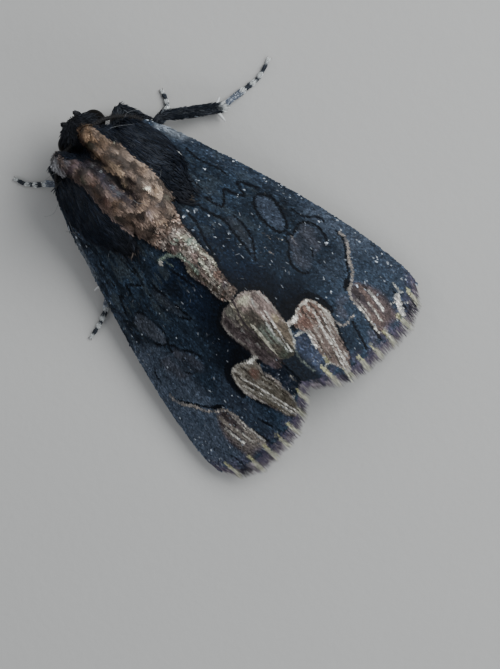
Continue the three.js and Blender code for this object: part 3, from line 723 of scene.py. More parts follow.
def tinted_material(name, roughness, specular, grain, shade, pores, depth, detail=3.0):
    """A piece's own tint times noise of `grain` mm, scaled and then raised by the two numbers
    of `shade`, with a bump `depth` mm deep from noise of `pores` mm."""
    material, shader, paint = new_material(name, roughness, specular)
    tint = paint.node("ShaderNodeAttribute", {"attribute_name": "tint"})
    feed(paint, shader, "Base Color", paint.tinted(tint, paint.noise(grain) * shade[0] + shade[1]))
    bumped(paint, shader, paint.noise(pores, detail), depth)
    return material


def membrane_material(name, roughness):
    """The skin of a wing: its painted tint with a fine uneven grain, and a shallow bump of
    scale sockets."""
    return tinted_material(name, roughness, 0.25, 0.05, (0.6, 0.7), pores=0.06, depth=0.02, detail=4.0)


forewing_skin = membrane_material("forewing_membrane", 0.6)
ROWS, COLUMNS = 150, 96
for name, side in SIDES.items():
    f = np.linspace(0.006, 1.0, COLUMNS)[None, :]
    reach = np.linspace(0.0, 1.0, ROWS)[:, None]
    front = wing_front(f) + 0.1
    y = front + reach * (termen(f) - FRINGE_LENGTH - front)
    rounding = MEMBRANE_THICKNESS * ease(f, 0.985, 1.0)
    top = wing_surface(side, f, y, MEMBRANE_DEPTH)
    bottom = top - [0.0, 0.0, MEMBRANE_THICKNESS]
    top[..., 2] -= 0.4 * rounding
    points, faces = closed_sheet(top, bottom, side < 0)
    painted = wing_colour(name, side * top[..., 0].ravel(), top[..., 1].ravel())
    underside = alike((0.085, 0.075, 0.068), painted)
    tint = np.concatenate([painted * 0.7, underside])
    wing = build(f"forewing_{name}_membrane", points, faces, forewing_skin, tint)
    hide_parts(f"forewing_{name}")

# ------------------------------------------------------------------------------ forewing scales
# The coat of a forewing: flat scales about 0.17 mm long, rooted in rows like shingles, each of a
# single colour, with tilted tips. They run back along the wing and fan out towards the termen.
SCALE = (
    np.array([(0.0, 0.0, 0.0), (0.5, 0.5, 0.0), (0.93, 0.38, 0.0), (0.93, -0.38, 0.0), (0.5, -0.5, 0.0),
              (0.55, 0.0, -0.12)]),
    np.array([(0, 4, 1), (4, 3, 2), (4, 2, 1), (4, 0, 5), (3, 4, 5), (2, 3, 5), (1, 2, 5), (0, 1, 5)]),
)
OFBAKE_PATCH = 0.003


def unit(vectors):
    """Vectors cut to a length of one."""
    return vectors / np.linalg.norm(vectors, axis=-1, keepdims=True)


def plant(name, template, roots, along, normal, length, width, lift, curl, tint, unwrap, material,
          smooth=False):
    """One closed little shape at each root. A template point (t, s, h) goes to root + along L t
    + beside W s + normal (W h + L t (lift + curl t)), so that lift tilts the shape off the skin
    and curl bends it. Every shape has one colour and a patch of the unwrap to itself."""
    shape, faces = template
    along = unit(along - (along * normal).sum(-1, keepdims=True) * normal)
    beside = np.cross(normal, along)
    t, s, h = shape.T
    sizes = [np.broadcast_to(value, len(roots))[:, None] for value in (length, width, lift, curl)]
    length, width, lift, curl = sizes
    forward = (length * t)[..., None] * along[:, None]
    sideways = (width * s)[..., None] * beside[:, None]
    up = (width * h + length * t * (lift + curl * t))[..., None] * normal[:, None]
    points = roots[:, None] + forward + sideways + up
    step = np.arange(len(roots))[:, None, None] * len(shape)
    spread = OFBAKE_PATCH * np.stack([t - 0.5, s / (2 * np.abs(s).max())], -1)
    patches = np.clip(unwrap, 0.004, 0.996)[:, None] + spread
    return build(name, points.reshape(-1, 3), (faces + step).reshape(-1, 3), material,
                 np.repeat(tint, len(shape), 0), patches.reshape(-1, 2), smooth)


def on_wing(side, x, y, low, high, front, rear):
    """Of places in plan, x mm out from the midline, those on the wing, with the fraction f of
    each: wing_plan() turned round. They lie between the fractions `low` and `high`, `front` mm
    behind the front edge and at most `rear` mm behind the roots of the fringe."""
    f = (x - side * seam_at(y)) / (half_width(y) - side * seam_at(y))
    hind_edge = termen(f) - FRINGE_LENGTH + rear
    return (f > low) & (f < high) & (y > wing_front(f) + front) & (y < hind_edge), f


def wing_frame(surface, side, f, y, *drop):
    """Points on a wing's surface with their directions: back along the wing, and out of its
    upper face."""
    step = 0.02
    here = surface(side, f, y, *drop)
    back = unit(surface(side, f, y + step, *drop) - here)
    out = surface(side, f + step / 5, y, *drop) - here
    return here, back, unit(np.cross(out, back)) * side


def scattered(chance, x_from, x_to, y_from, y_to, across, along, jitter=0.35):
    """Places in staggered rows over a rectangle, each shifted a little at random."""
    x, y = np.meshgrid(np.arange(x_from, x_to, across), np.arange(y_from, y_to, along))
    x[1::2] += across / 2
    x = x.ravel() + across * jitter * chance.uniform(-1, 1, x.size)
    y = y.ravel() + along * jitter * chance.uniform(-1, 1, y.size)
    return x, y


def varied(chance, colour, spread):
    """Each colour times a random factor about 1, so that no two neighbours are quite alike."""
    return colour * np.exp(chance.normal(0.0, spread, len(colour)))[:, None]


def turned(chance, direction, normal, spread):
    """Directions swung to either side at random, within their own plane."""
    swing = spread * chance.normal(0.0, 1.0, len(direction))
    return direction + swing[:, None] * np.cross(normal, direction)


def scale_material(name, roughness, specular):
    """A coat's finish: the scale's own colour, ribbed finely enough to break up its gloss."""
    return tinted_material(name, roughness, specular, 0.03, (0.7, 0.65), pores=0.018, depth=0.006,
                           detail=2.0)


forewing_coat = scale_material("forewing_scales", 0.55, 0.09)
ROOT_DROP = MEMBRANE_DEPTH - 0.008
LOOSE_HAIRS = 130
SPARK = np.array((0.55, 0.6, 0.66))
for name, side in SIDES.items():
    chance = np.random.default_rng(31 + side)
    x, y = scattered(chance, -0.47, 7.2, 2.0, 18.4, 0.056, 0.074)
    keep, f = on_wing(side, x, y, -0.02, 1.0, front=0.12, rear=0.08)
    x, y, f = x[keep], y[keep], f[keep]
    roots, back, normal = wing_frame(wing_surface, side, f, y, ROOT_DROP)
    tint = varied(chance, wing_colour(name, x, y + 0.07), 0.34)
    dark = tint.max(1) < 0.12
    draw = chance.random(len(x))
    tint[dark & (draw < 0.12)] *= 1.6
    sparks = 0.001 + 0.02 * ease(f, 0.86, 1.0) + 0.006 * ease(y, 13.5, 16.0)
    lit = dark & (draw > 1.0 - sparks) & (tint.max(1) > 0.012)
    tint[lit] = SPARK * chance.uniform(0.15, 0.9, lit.sum())[:, None]
    length = chance.normal(0.175, 0.02, len(x))
    width = chance.normal(0.078, 0.008, len(x))
    unwrap = np.stack([f * 0.9 + 0.05, y / 20.0], -1)
    swing = turned(chance, back, normal, 0.16)
    coat = plant(f"forewing_{name}_scales", SCALE, roots, swing, normal, length, width,
                 chance.uniform(0.08, 0.26, len(x)), -0.05, tint, unwrap, forewing_coat)

    # Narrower scales stand proud on the patch and run along its streaks; broad ruffled ones
    # make the stripe; pale hair-scales lie at the flecks and here and there on the dark field.
    x, y = scattered(chance, -0.45, 3.0, 5.5, 18.0, 0.046, 0.075, 0.5)
    outlines = [[(-0.8, 5.0)] + STRIPE_EDGE[name] + [(-0.8, 11.4)], INNER_PRONG[name], OUTER_PRONG]
    keep = np.maximum.reduce([filled(x, y, outline, 0.22) for outline in outlines]) > 0.8
    flecks = np.array(FLECKS[name])
    loose = chance.random((LOOSE_HAIRS, 2)) * (6.0, 12.5) + (0.8, 5.5)
    faint = chance.uniform(0.06, 0.55, LOOSE_HAIRS) * (0.35 + 0.65 * ease(loose[:, 1], 9.0, 13.0))
    pale = np.concatenate([np.zeros(keep.sum()), 1.1 * flecks[:, 2], faint])
    x = np.concatenate([x[keep], flecks[:, 0], loose[:, 0]])
    y = np.concatenate([y[keep], flecks[:, 1] - 0.1, loose[:, 1]])
    proud = pale == 0
    keep, f = on_wing(side, x, y, 0.0, 0.97, front=0.06, rear=0.0)
    x, y, f, proud, pale = x[keep], y[keep], f[keep], proud[keep], pale[keep]
    roots, back, normal = wing_frame(wing_surface, side, f, y, ROOT_DROP)
    tint = varied(chance, wing_colour(name, x, y + 0.1), 0.28)
    tint[~proud] = (SPARK * pale[:, None])[~proud]
    stripe = proud & (y < 11.4)
    tint[stripe] = varied(chance, tint[stripe], 0.6)
    shaggy = ease(8.6 - y, 0.0, 2.0)
    length = np.where(stripe, 0.17 + 0.1 * shaggy, np.where(proud, 0.23, 0.24))
    length = length * chance.uniform(0.75, 1.25, len(x))
    width = np.where(stripe, 0.07 + 0.02 * shaggy, np.where(proud, 0.038, 0.03 + 0.05 * pale))
    lift = np.where(stripe, chance.uniform(0.3, 0.7, len(x)), chance.uniform(0.12, 0.3, len(x)))
    swing = turned(chance, back, normal, np.where(stripe, 0.35, np.where(proud, 0.1, 0.6)))
    unwrap = np.stack([f * 0.9 + 0.05, y / 20.0], -1)
    coat = plant(f"forewing_{name}_raised_scales", SCALE, roots, swing, normal, length, width, lift,
                 np.where(stripe, -0.35, -0.1), tint, unwrap, forewing_coat)

    # The underside: broader grey-brown scales, looser set.
    x, y = scattered(chance, 0.1, 7.1, 2.2, 18.2, 0.085, 0.115)
    keep, f = on_wing(side, x, y, 0.02, 0.985, front=0.15, rear=0.06)
    x, y, f = x[keep], y[keep], f[keep]
    roots, back, normal = wing_frame(wing_surface, side, f, y, MEMBRANE_DEPTH + MEMBRANE_THICKNESS - 0.008)
    grey = lay(alike((0.075, 0.068, 0.064), x), (0.03, 0.028, 0.03), ease(mottle(x, y, 1.5, 24), 0.4, 0.8))
    tint = varied(chance, lay(grey, (0.15, 0.14, 0.13), 0.6 * ease(f, 0.9, 1.0)), 0.3)
    unwrap = np.stack([f * 0.9 + 0.05, 1.0 - y / 20.0], -1)
    swing = turned(chance, back, normal, 0.12)
    length = chance.normal(0.23, 0.02, len(x))
    coat = plant(f"forewing_{name}_under_scales", SCALE, roots, swing, -normal, length, 0.115,
                 chance.uniform(0.05, 0.18, len(x)), -0.04, tint, unwrap, forewing_coat)

# ------------------------------------------------------------------------------ fringes
# The hind edge carries three rows of hair-scales, short over long, violet brown between the
# veins and pale at their ends. The costa and its edge carry one row of short stiff scales.
LOCK = (
    np.array([(0.0, 0.0, 0.0), (0.3, 0.5, -0.25), (0.3, -0.5, -0.25), (0.3, 0.0, 0.5), (0.72, 0.4, -0.2),
              (0.72, -0.4, -0.2), (0.72, 0.0, 0.4), (1.0, 0.0, 0.0)]),
    np.array([(0, 1, 2), (0, 2, 3), (0, 3, 1), (2, 1, 4), (2, 4, 5), (3, 2, 5), (3, 5, 6), (1, 3, 6),
              (1, 6, 4), (5, 4, 7), (6, 5, 7), (4, 6, 7)]),
)
# The reach, width and spacing of each row of the fringe.
FRINGE_ROWS = [(1.0, 0.05, 0.0036), (0.72, 0.06, 0.0045), (0.42, 0.07, 0.0055)]
COSTAL_SCALES = 1500
for name, side in SIDES.items():
    chance = np.random.default_rng(47 + side)
    rows = []
    for row, (reach, width, step) in enumerate(FRINGE_ROWS):
        f = np.arange(0.008, 1.0, step)
        f = f + chance.uniform(-0.4, 0.4, len(f)) * step
        rows.append(np.stack([f, np.full(len(f), reach), np.full(len(f), width), np.full(len(f), row)], -1))
    f, reach, width, row = np.concatenate(rows).T
    f = np.clip(f, 0.004, 0.999)
    y = termen(f) - FRINGE_LENGTH - 0.04 + 0.02 * row
    roots, back, normal = wing_frame(wing_surface, side, f, y, MEMBRANE_DEPTH + 0.03 - 0.025 * row)
    out = np.abs(roots[:, 0])
    from_tuft = np.abs(out[:, None] - TUFTS).min(1)
    pale = (1.0 - ease(from_tuft, 0.07, 0.17)) * chance.uniform(0.6, 1.0, len(f))
    tint = lay(alike((0.1, 0.084, 0.12), f), (0.03, 0.028, 0.04), ease(mottle(out, y, 0.4, 22), 0.5, 0.8))
    tint = lay(tint, (0.24, 0.21, 0.22), 0.8 * ease(mottle(out + 0.3 * row, y, 0.16, 21), 0.5, 0.8))
    tint = lay(tint, (0.23, 0.2, 0.205), 0.65 * (row == 0) * ease(mottle(out, y, 0.3, 23), 0.2, 0.6))
    tint = lay(tint, (0.55, 0.54, 0.41), pale * np.where(row < 2, 1.0, 0.8))
    tint = varied(chance, tint, 0.3)
    scallop = 0.92 + 0.13 * (1.0 - ease(from_tuft, 0.05, 0.4))
    full = FRINGE_LENGTH + 0.16 + 0.12 * ease(f, 0.5, 0.75)
    length = full * reach * scallop * chance.uniform(0.9, 1.05, len(f))
    swing = turned(chance, back, normal, 0.08)
    swing[:, 0] += side * (0.12 * ease(f, 0.5, 0.8) - 0.34 * ease(f, 0.88, 1.0))
    unwrap = np.stack([f * 0.9 + 0.05, 0.02 + reach * 0.9], -1)
    fringe = plant(f"forewing_{name}_fringe", LOCK, roots, swing, normal, length, width * 0.8,
                   chance.uniform(-0.06, 0.03, len(f)), -0.02, tint, unwrap, forewing_coat, smooth=True)

    y = np.linspace(2.3, 17.3, COSTAL_SCALES)
    y = y + chance.uniform(-0.01, 0.01, len(y))
    f = chance.uniform(0.986, 1.0, len(y))
    roots, back, normal = wing_frame(wing_surface, side, f, y, MEMBRANE_DEPTH + 0.03)
    swing = back.copy()
    swing[:, 0] += side * chance.uniform(0.1, 0.55, len(y))
    tint = varied(chance, wing_colour(name, np.abs(roots[:, 0]) - 0.1, y), 0.4)
    tint = lay(tint, (0.12, 0.13, 0.12),
               0.8 * (name == "left") * ease(y, 5.0, 5.6) * ease(9.0 - y, 0.0, 1.5))
    spark = chance.random(len(y)) < 0.05
    tint[spark] = SPARK * chance.uniform(0.3, 1.0, spark.sum())[:, None]
    shoulder = ease(y, 2.3, 3.0) * ease(5.4 - y, 0.0, 1.6)
    length = 0.19 + 0.3 * shoulder * chance.random(len(y))
    unwrap = np.stack([np.full(len(y), 0.97), y / 20.0], -1)
    lift = chance.uniform(-0.25, 0.1, len(y)) + 0.25 * shoulder
    edging = plant(f"forewing_{name}_costal_scales", SCALE, roots, swing, normal, length,
                   0.07 - 0.03 * shoulder, lift, -0.1, tint, unwrap, forewing_coat)

# ------------------------------------------------------------------------------ hindwings
# The hindwings lie pleated under the roof, out of sight from above: thin grey-brown membranes,
# darker towards the hind edge, with scales on both faces and a pale fringe.
hindwing_skin = membrane_material("hindwing_membrane", 0.65)
hindwing_coat = scale_material("hindwing_scales", 0.62, 0.2)
HIND_ROWS, HIND_COLUMNS = 90, 60


def hindwing_surface(side, f, y):
    """The mid surface of the folded hindwing: the roof's shape 0.9 mm lower, with pleats that
    deepen towards the tail."""
    f, y = np.broadcast_arrays(np.asarray(f, float), np.asarray(y, float))
    pleat = 0.09 * np.sin(f * 46.0) * ease(y, 6.0, 13.0)
    return np.stack([wing_plan(side, f, y), y, roof_height(f, y) - 0.92 + pleat], -1)


def hindwing_edges(f):
    """Where the folded hindwing begins and ends, from front to back."""
    return 4.7 + 2.0 * (1.0 - ease(f, 0.1, 0.5)), 16.3 - 5.5 * f ** 3


def hindwing_colour(f, y):
    """Grey brown, paler at the root and darker in a broad band along the hind edge."""
    colour = alike((0.115, 0.1, 0.086), f)
    return lay(colour, (0.05, 0.043, 0.038), ease(y + 4.0 * f ** 2, 11.5, 16.0) * 0.85)


for name, side in SIDES.items():
    chance = np.random.default_rng(53 + side)
    f = np.linspace(0.11, 0.72, HIND_COLUMNS)[None, :]
    front, rear = hindwing_edges(f)
    y = front + np.linspace(0.0, 1.0, HIND_ROWS)[:, None] * (rear - front)
    middle = hindwing_surface(side, f, y)
    half = [0.0, 0.0, 0.035]
    points, faces = closed_sheet(middle + half, middle - half, side < 0)
    colour = hindwing_colour(np.broadcast_to(f, y.shape).ravel(), y.ravel())
    wing = build(f"hindwing_{name}_membrane", points, faces, hindwing_skin, np.tile(colour, (2, 1)))
    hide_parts(f"hindwing_{name}")

    f, y = scattered(chance, 0.12, 0.715, 5.0, 16.4, 0.014, 0.1)
    f, y = np.tile((f, y), 2)
    upper = np.arange(len(f)) < len(f) // 2
    front, rear = hindwing_edges(f)
    keep = (y > front + 0.05) & (y < rear)
    f, y, upper = f[keep], y[keep], upper[keep]
    here, back, normal = wing_frame(hindwing_surface, side, f, y)
    normal = normal * np.where(upper, 1.0, -1.0)[:, None]
    tint = varied(chance, hindwing_colour(f, y), 0.25)
    unwrap = np.stack([(f - 0.1) * 0.7 + 0.5 * ~upper, y / 20.0], -1)
    coat = plant(f"hindwing_{name}_scales", SCALE, here + normal * 0.036, back, normal, 0.22, 0.1,
                 chance.uniform(0.06, 0.2, len(f)), -0.05, tint, unwrap, hindwing_coat)

    f = np.concatenate([np.arange(0.11, 0.72, 0.0035)] * 2)
    f = f + chance.uniform(-0.001, 0.001, len(f))
    y = hindwing_edges(f)[1] - 0.05
    here, back, normal = wing_frame(hindwing_surface, side, f, y)
    tint = varied(chance, alike((0.16, 0.145, 0.125), f), 0.3)
    unwrap = np.stack([f, np.full(len(f), 0.95)], -1)
    length = chance.uniform(0.35, 0.58, len(f))
    fringe = plant(f"hindwing_{name}_fringe", LOCK, here, back, normal, length, 0.045, 0.0, -0.05, tint,
                   unwrap, hindwing_coat, smooth=True)

# ------------------------------------------------------------------------------ body skin
# Head, palps, thorax with its collar and tegulae, abdomen and the six legs are one soft skin.
# They are modelled as rounded masses and limbs, melted into one closed surface, which lies
# inside the imported solids by the depth of the coat.
HEAD = np.array((-0.3, 0.5, 3.6))
SKIN_VOXEL = 0.075


def rounded_mass(centre, half, power=2.0, bend=None, rows=44, columns=60):
    """A sphere squared off by a power: each direction is stretched until the sum of its powers
    is one, scaled by the half sizes, bent, and moved to the centre."""
    polar = np.linspace(0.0, np.pi, rows)[:, None]
    turn = np.linspace(0.0, 2 * np.pi, columns, endpoint=False)[None, :]
    point = np.stack([np.sin(polar) * np.cos(turn), np.cos(polar) + 0 * turn,
                      -np.sin(polar) * np.sin(turn)], -1)
    point = point / (np.abs(point) ** power).sum(-1, keepdims=True) ** (1 / power) * half
    if bend is not None:
        point = np.stack(bend(*np.moveaxis(point, -1, 0)), -1)
    return (point + centre).reshape(-1, 3), grid_faces(rows, columns, wrap=True)


def frames_along(path):
    """Directions of a path at each of its points: ahead, to the side, and over."""
    ahead = unit(np.gradient(path, axis=0))
    side = unit(np.cross(ahead, (0.0, 0.0, 1.0)))
    return ahead, side, np.cross(side, ahead)


def limb(path, radii, columns=18):
    """A tube: circles of the given radii along the path, drawn to a point at both ends."""
    _, side, over = frames_along(path)
    turn = np.linspace(0.0, 2 * np.pi, columns, endpoint=False)
    ring = np.cos(turn)[None, :, None] * side[:, None] + np.sin(turn)[None, :, None] * over[:, None]
    points = path[:, None] + radii[:, None, None] * ring
    points = np.concatenate([path[None, :1].repeat(columns, 1), points, path[None, -1:].repeat(columns, 1)])
    return points.reshape(-1, 3), grid_faces(len(path) + 2, columns, wrap=True)


def run(points, steps):
    """A smooth path of evenly spaced steps through a few points in space."""
    points = np.asarray(points, float)
    line = rounded(points, False) if len(points) > 2 else points
    travelled = np.r_[0.0, np.cumsum(np.linalg.norm(np.diff(line, axis=0), axis=1))]
    at = np.linspace(0.0, travelled[-1], steps)
    return np.stack([np.interp(at, travelled, line[:, axis]) for axis in range(3)], -1)


def thorax_bend(x, y, z):
    """The crest narrows towards its back, the thorax drops away behind, and a furrow between two
    low ridges runs back from the cleft of the collar."""
    high, behind = ease(z, 0.4, 2.2), ease(y, 0.5, 2.8)
    furrow = np.exp(-(((x + 0.05) / 0.34) ** 2)) * ease(1.6 - y, 0.0, 1.2)
    ridges = np.exp(-(((np.abs(x + 0.05) - 0.95) / 0.4) ** 2)) * ease(2.2 - y, 0.0, 1.5)
    height = z + high * (0.12 * ridges - 0.42 * furrow - 0.55 * behind)
    return x * (1 - 0.35 * high * behind), y + 0.45 * high * behind, height


def abdomen_bend(x, y, z):
    """The abdomen tapers to its tail, droops a little and is ringed by its seven segments."""
    taper = 1 - 0.4 * ease(y, -1.5, 4.9)
    ring = 1 - 0.045 * np.abs(np.sin(y * 2.35)) ** 6
    return x * taper * ring, y, z * taper * ring - 0.3 * ease(y, -1.0, 4.9)


def tegula_bend(side):
    """A tegula lies along the shoulder, turned 40 degrees down, and is drawn in, thinned and
    let down on to the wing behind."""
    slope = np.radians(40.0)

    def bend(x, y, z):
        out = x * side * (1 - 0.35 * ease(y, 0.2, 2.65))
        inwards = 0.3 * ease(y, 0.0, 2.65)
        thick = z * (1 - 0.4 * ease(y, 0.2, 2.5))
        height = thick * np.cos(slope) - out * np.sin(slope) - 0.34 * ease(y, 0.2, 2.6)
        return side * (out * np.cos(slope) + thick * np.sin(slope) - inwards), y, height

    return bend


PALP_STEPS = 24
masses = [
    rounded_mass(HEAD, (0.95, 0.98, 0.95), 2.2),
    rounded_mass((0.0, 3.55, 3.72), (1.85, 2.5, 2.14), 2.5, thorax_bend),
    rounded_mass((0.0, 10.4, 2.12), (1.5, 4.65, 1.02), 2.4, abdomen_bend),
    rounded_mass((-0.1, 5.75, 4.68), (1.15, 0.75, 0.42), 2.2),
]
PALPS = {}
# The left lobe of the collar is spread outwards: middle across, half width and slant of each.
COLLARS = {"right": (-0.73, 0.54, -0.08), "left": (0.95, 0.46, -0.32)}
for name, side in SIDES.items():
    across, half, slant = COLLARS[name]
    masses.append(rounded_mass((across, 1.25, 5.18), (half, 0.88, 0.68), 2.4,
                               lambda x, y, z: (x + slant * y, y, z + 0.14 * y)))
    masses.append(rounded_mass((side * 0.76, 2.2, 5.22), (0.5, 0.9, 0.6), 2.2))
    masses.append(rounded_mass((side * 0.95, 1.6, 4.35), (0.78, 0.75, 0.78), 2.2))
    masses.append(rounded_mass((side * 2.08, 3.85, 4.32), (1.34, 2.5, 0.6), 2.0, tegula_bend(side)))
    PALPS[name] = run(HEAD + np.array([(side * 0.36, -0.45, -1.0), (side * 0.42, -0.95, -0.88),
                                       (side * 0.42, -1.16, -0.42)]), PALP_STEPS)
    palp_radii = 0.17 - 0.07 * ease(np.linspace(0, 1, PALP_STEPS), 0.5, 1.0)
    masses.append(limb(PALPS[name], palp_radii))

# Hip, knee and ankle, then the points that the tarsus follows to its claws.
LEGS = {
    "fore_right": [(-0.8, 1.9, 2.0), (-2.3, 0.55, 1.5), (-2.85, 2.15, 0.75), (-2.98, 2.36, 0.6),
                   (-3.38, 2.5, 0.42), (-3.86, 2.3, 0.23), (-4.2, 1.9, 0.18), (-4.35, 1.4, 0.15)],
    "fore_left": [(0.8, 1.9, 2.0), (2.1, 0.35, 1.6), (2.5, 1.35, 0.75), (2.74, 1.12, 0.5),
                  (3.11, 0.72, 0.35), (3.55, 0.38, 0.22), (3.95, -0.08, 0.18), (4.17, -0.64, 0.15)],
    "mid_right": [(-1.0, 3.3, 1.75), (-3.5, 2.35, 1.72), (-6.0, 4.15, 0.62), (-6.2, 4.18, 0.52),
                  (-6.7, 4.2, 0.38), (-7.4, 4.28, 0.23), (-8.2, 4.36, 0.18), (-8.75, 4.25, 0.15),
                  (-9.35, 4.04, 0.15)],
    "mid_left": [(1.0, 3.6, 1.7), (2.9, 4.4, 1.4), (4.5, 6.6, 0.55), (4.65, 6.78, 0.46), (5.1, 7.12, 0.34),
                 (5.65, 7.46, 0.22), (6.3, 7.7, 0.17), (7.05, 7.86, 0.15)],
    "hind_right": [(-0.9, 4.8, 1.6), (-3.0, 6.4, 1.35), (-3.4, 10.6, 0.55), (-3.44, 10.85, 0.46),
                   (-3.55, 11.8, 0.3), (-3.7, 13.0, 0.17), (-3.9, 14.3, 0.15)],
    "hind_left": [(0.9, 4.8, 1.6), (2.9, 6.9, 1.3), (3.2, 10.9, 0.55), (3.24, 11.15, 0.46),
                  (3.3, 12.0, 0.3), (3.5, 13.2, 0.17), (3.8, 14.5, 0.15)],
}
TARSOMERES = np.array([0.0, 0.42, 0.61, 0.76, 0.88, 1.0])
LEG_STEPS = 48
SOLE = 0.012


def leg_course(points):
    """A leg's three lengths as one run of points, the radius of its skin at each, and a running
    number: 0 to 1 on the femur, 1 to 2 on the tibia and 2 to 3 on the tarsus."""
    points = np.asarray(points, float)
    t = np.linspace(0.0, 1.0, LEG_STEPS)
    femur = run(points[:2], LEG_STEPS)
    tibia = run(points[1:3], LEG_STEPS)
    tarsus = run(points[2:], LEG_STEPS)
    after = np.searchsorted(TARSOMERES, t, "right")
    start = TARSOMERES[np.clip(after - 1, 0, 4)]
    end = TARSOMERES[np.clip(after, 1, 5)]
    swell = ease((t - start) / (end - start), 0.35, 0.95)
    radii = [0.17 + 0.12 * np.sin(np.pi * np.clip(t * 0.85 + 0.1, 0, 1)),
             0.2 + 0.04 * np.sin(np.pi * t) + 0.02 * ease(t, 0.8, 1.0),
             (0.19 - 0.09 * t) * (0.84 + 0.26 * swell)]
    tarsus[:, 2] = np.maximum(tarsus[:, 2] - 0.05, radii[2] + SOLE)
    return [femur, tibia, tarsus], radii, [t, 1 + t, 2 + t]


COURSES = {}
for name, points in LEGS.items():
    paths, radii, numbers = leg_course(points)
    COURSES[name] = np.concatenate(paths), np.concatenate(radii), np.concatenate(numbers)
    for path, radius in zip(paths, radii):
        masses.append(limb(path, radius))
    hip = paths[0][0]
    masses.append(rounded_mass(hip + (0.0, 0.0, 0.1), (0.42, 0.5, 0.62), 2.0, rows=16, columns=20))


def joined(pieces):
    """Several closed shapes as one array of points and one of quads."""
    starts = np.cumsum([0] + [len(points) for points, _ in pieces])
    faces = [faces + start for (_, faces), start in zip(pieces, starts)]
    return np.concatenate([points for points, _ in pieces]), np.concatenate(faces)


def melted(pieces, voxel):
    """One closed surface round overlapping closed pieces, on a grid of voxels, then smoothed.
    Returns its points, its quads and its outward normals."""
    points, faces = joined(pieces)
    mesh = bpy.data.meshes.new("melt")
    mesh.from_pydata(points.tolist(), [], faces.tolist())
    melt = bpy.data.objects.new("melt", mesh)
    bpy.context.scene.collection.objects.link(melt)
    remesh = melt.modifiers.new("one_skin", "REMESH")
    remesh.mode = "VOXEL"
    remesh.voxel_size = voxel
    smooth = melt.modifiers.new("smooth", "SMOOTH")
    smooth.factor = 0.5
    smooth.iterations = 3
    shape = melt.evaluated_get(bpy.context.evaluated_depsgraph_get()).to_mesh()
    points = np.empty(len(shape.vertices) * 3, np.float32)
    normals = np.empty(len(shape.vertices) * 3, np.float32)
    shape.vertices.foreach_get("co", points)
    shape.vertices.foreach_get("normal", normals)
    quads = np.empty(len(shape.loops), np.int32)
    shape.loops.foreach_get("vertex_index", quads)
    melt.evaluated_get(bpy.context.evaluated_depsgraph_get()).to_mesh_clear()
    bpy.data.objects.remove(melt)
    return points.reshape(-1, 3).astype(float), quads.reshape(-1, 4), normals.reshape(-1, 3).astype(float)


skin_points, skin_quads, skin_normals = melted(masses, SKIN_VOXEL)

# The brown crest of thorax and collar in plan: its right edge, its left edge, and the dark
# notch between the two lobes of the collar.
CREST_RIGHT = [(-0.45, 0.02), (-0.93, 0.28), (-1.12, 0.8), (-1.24, 1.5), (-1.45, 2.05), (-1.5, 3.0),
               (-1.64, 3.8), (-1.68, 4.6), (-1.6, 5.3), (-1.4, 5.9), (-1.12, 6.4), (-0.95, 7.2)]
CREST_LEFT = [(0.96, 0.1), (1.0, -0.4), (1.6, -0.5), (2.05, 0.2), (1.95, 1.0), (1.5, 1.5), (1.27, 2.2),
              (1.28, 3.0), (1.36, 4.0), (1.39, 4.8), (1.32, 5.4), (1.05, 6.0), (0.85, 6.5), (0.7, 7.2)]
NOTCH = [(0.96, 0.65), (0.68, 1.12), (0.3, 1.5), (0.0, 1.5), (-0.12, 1.1), (-0.25, 0.5)]
CREST_OUTLINE = CREST_RIGHT + CREST_LEFT[::-1] + NOTCH

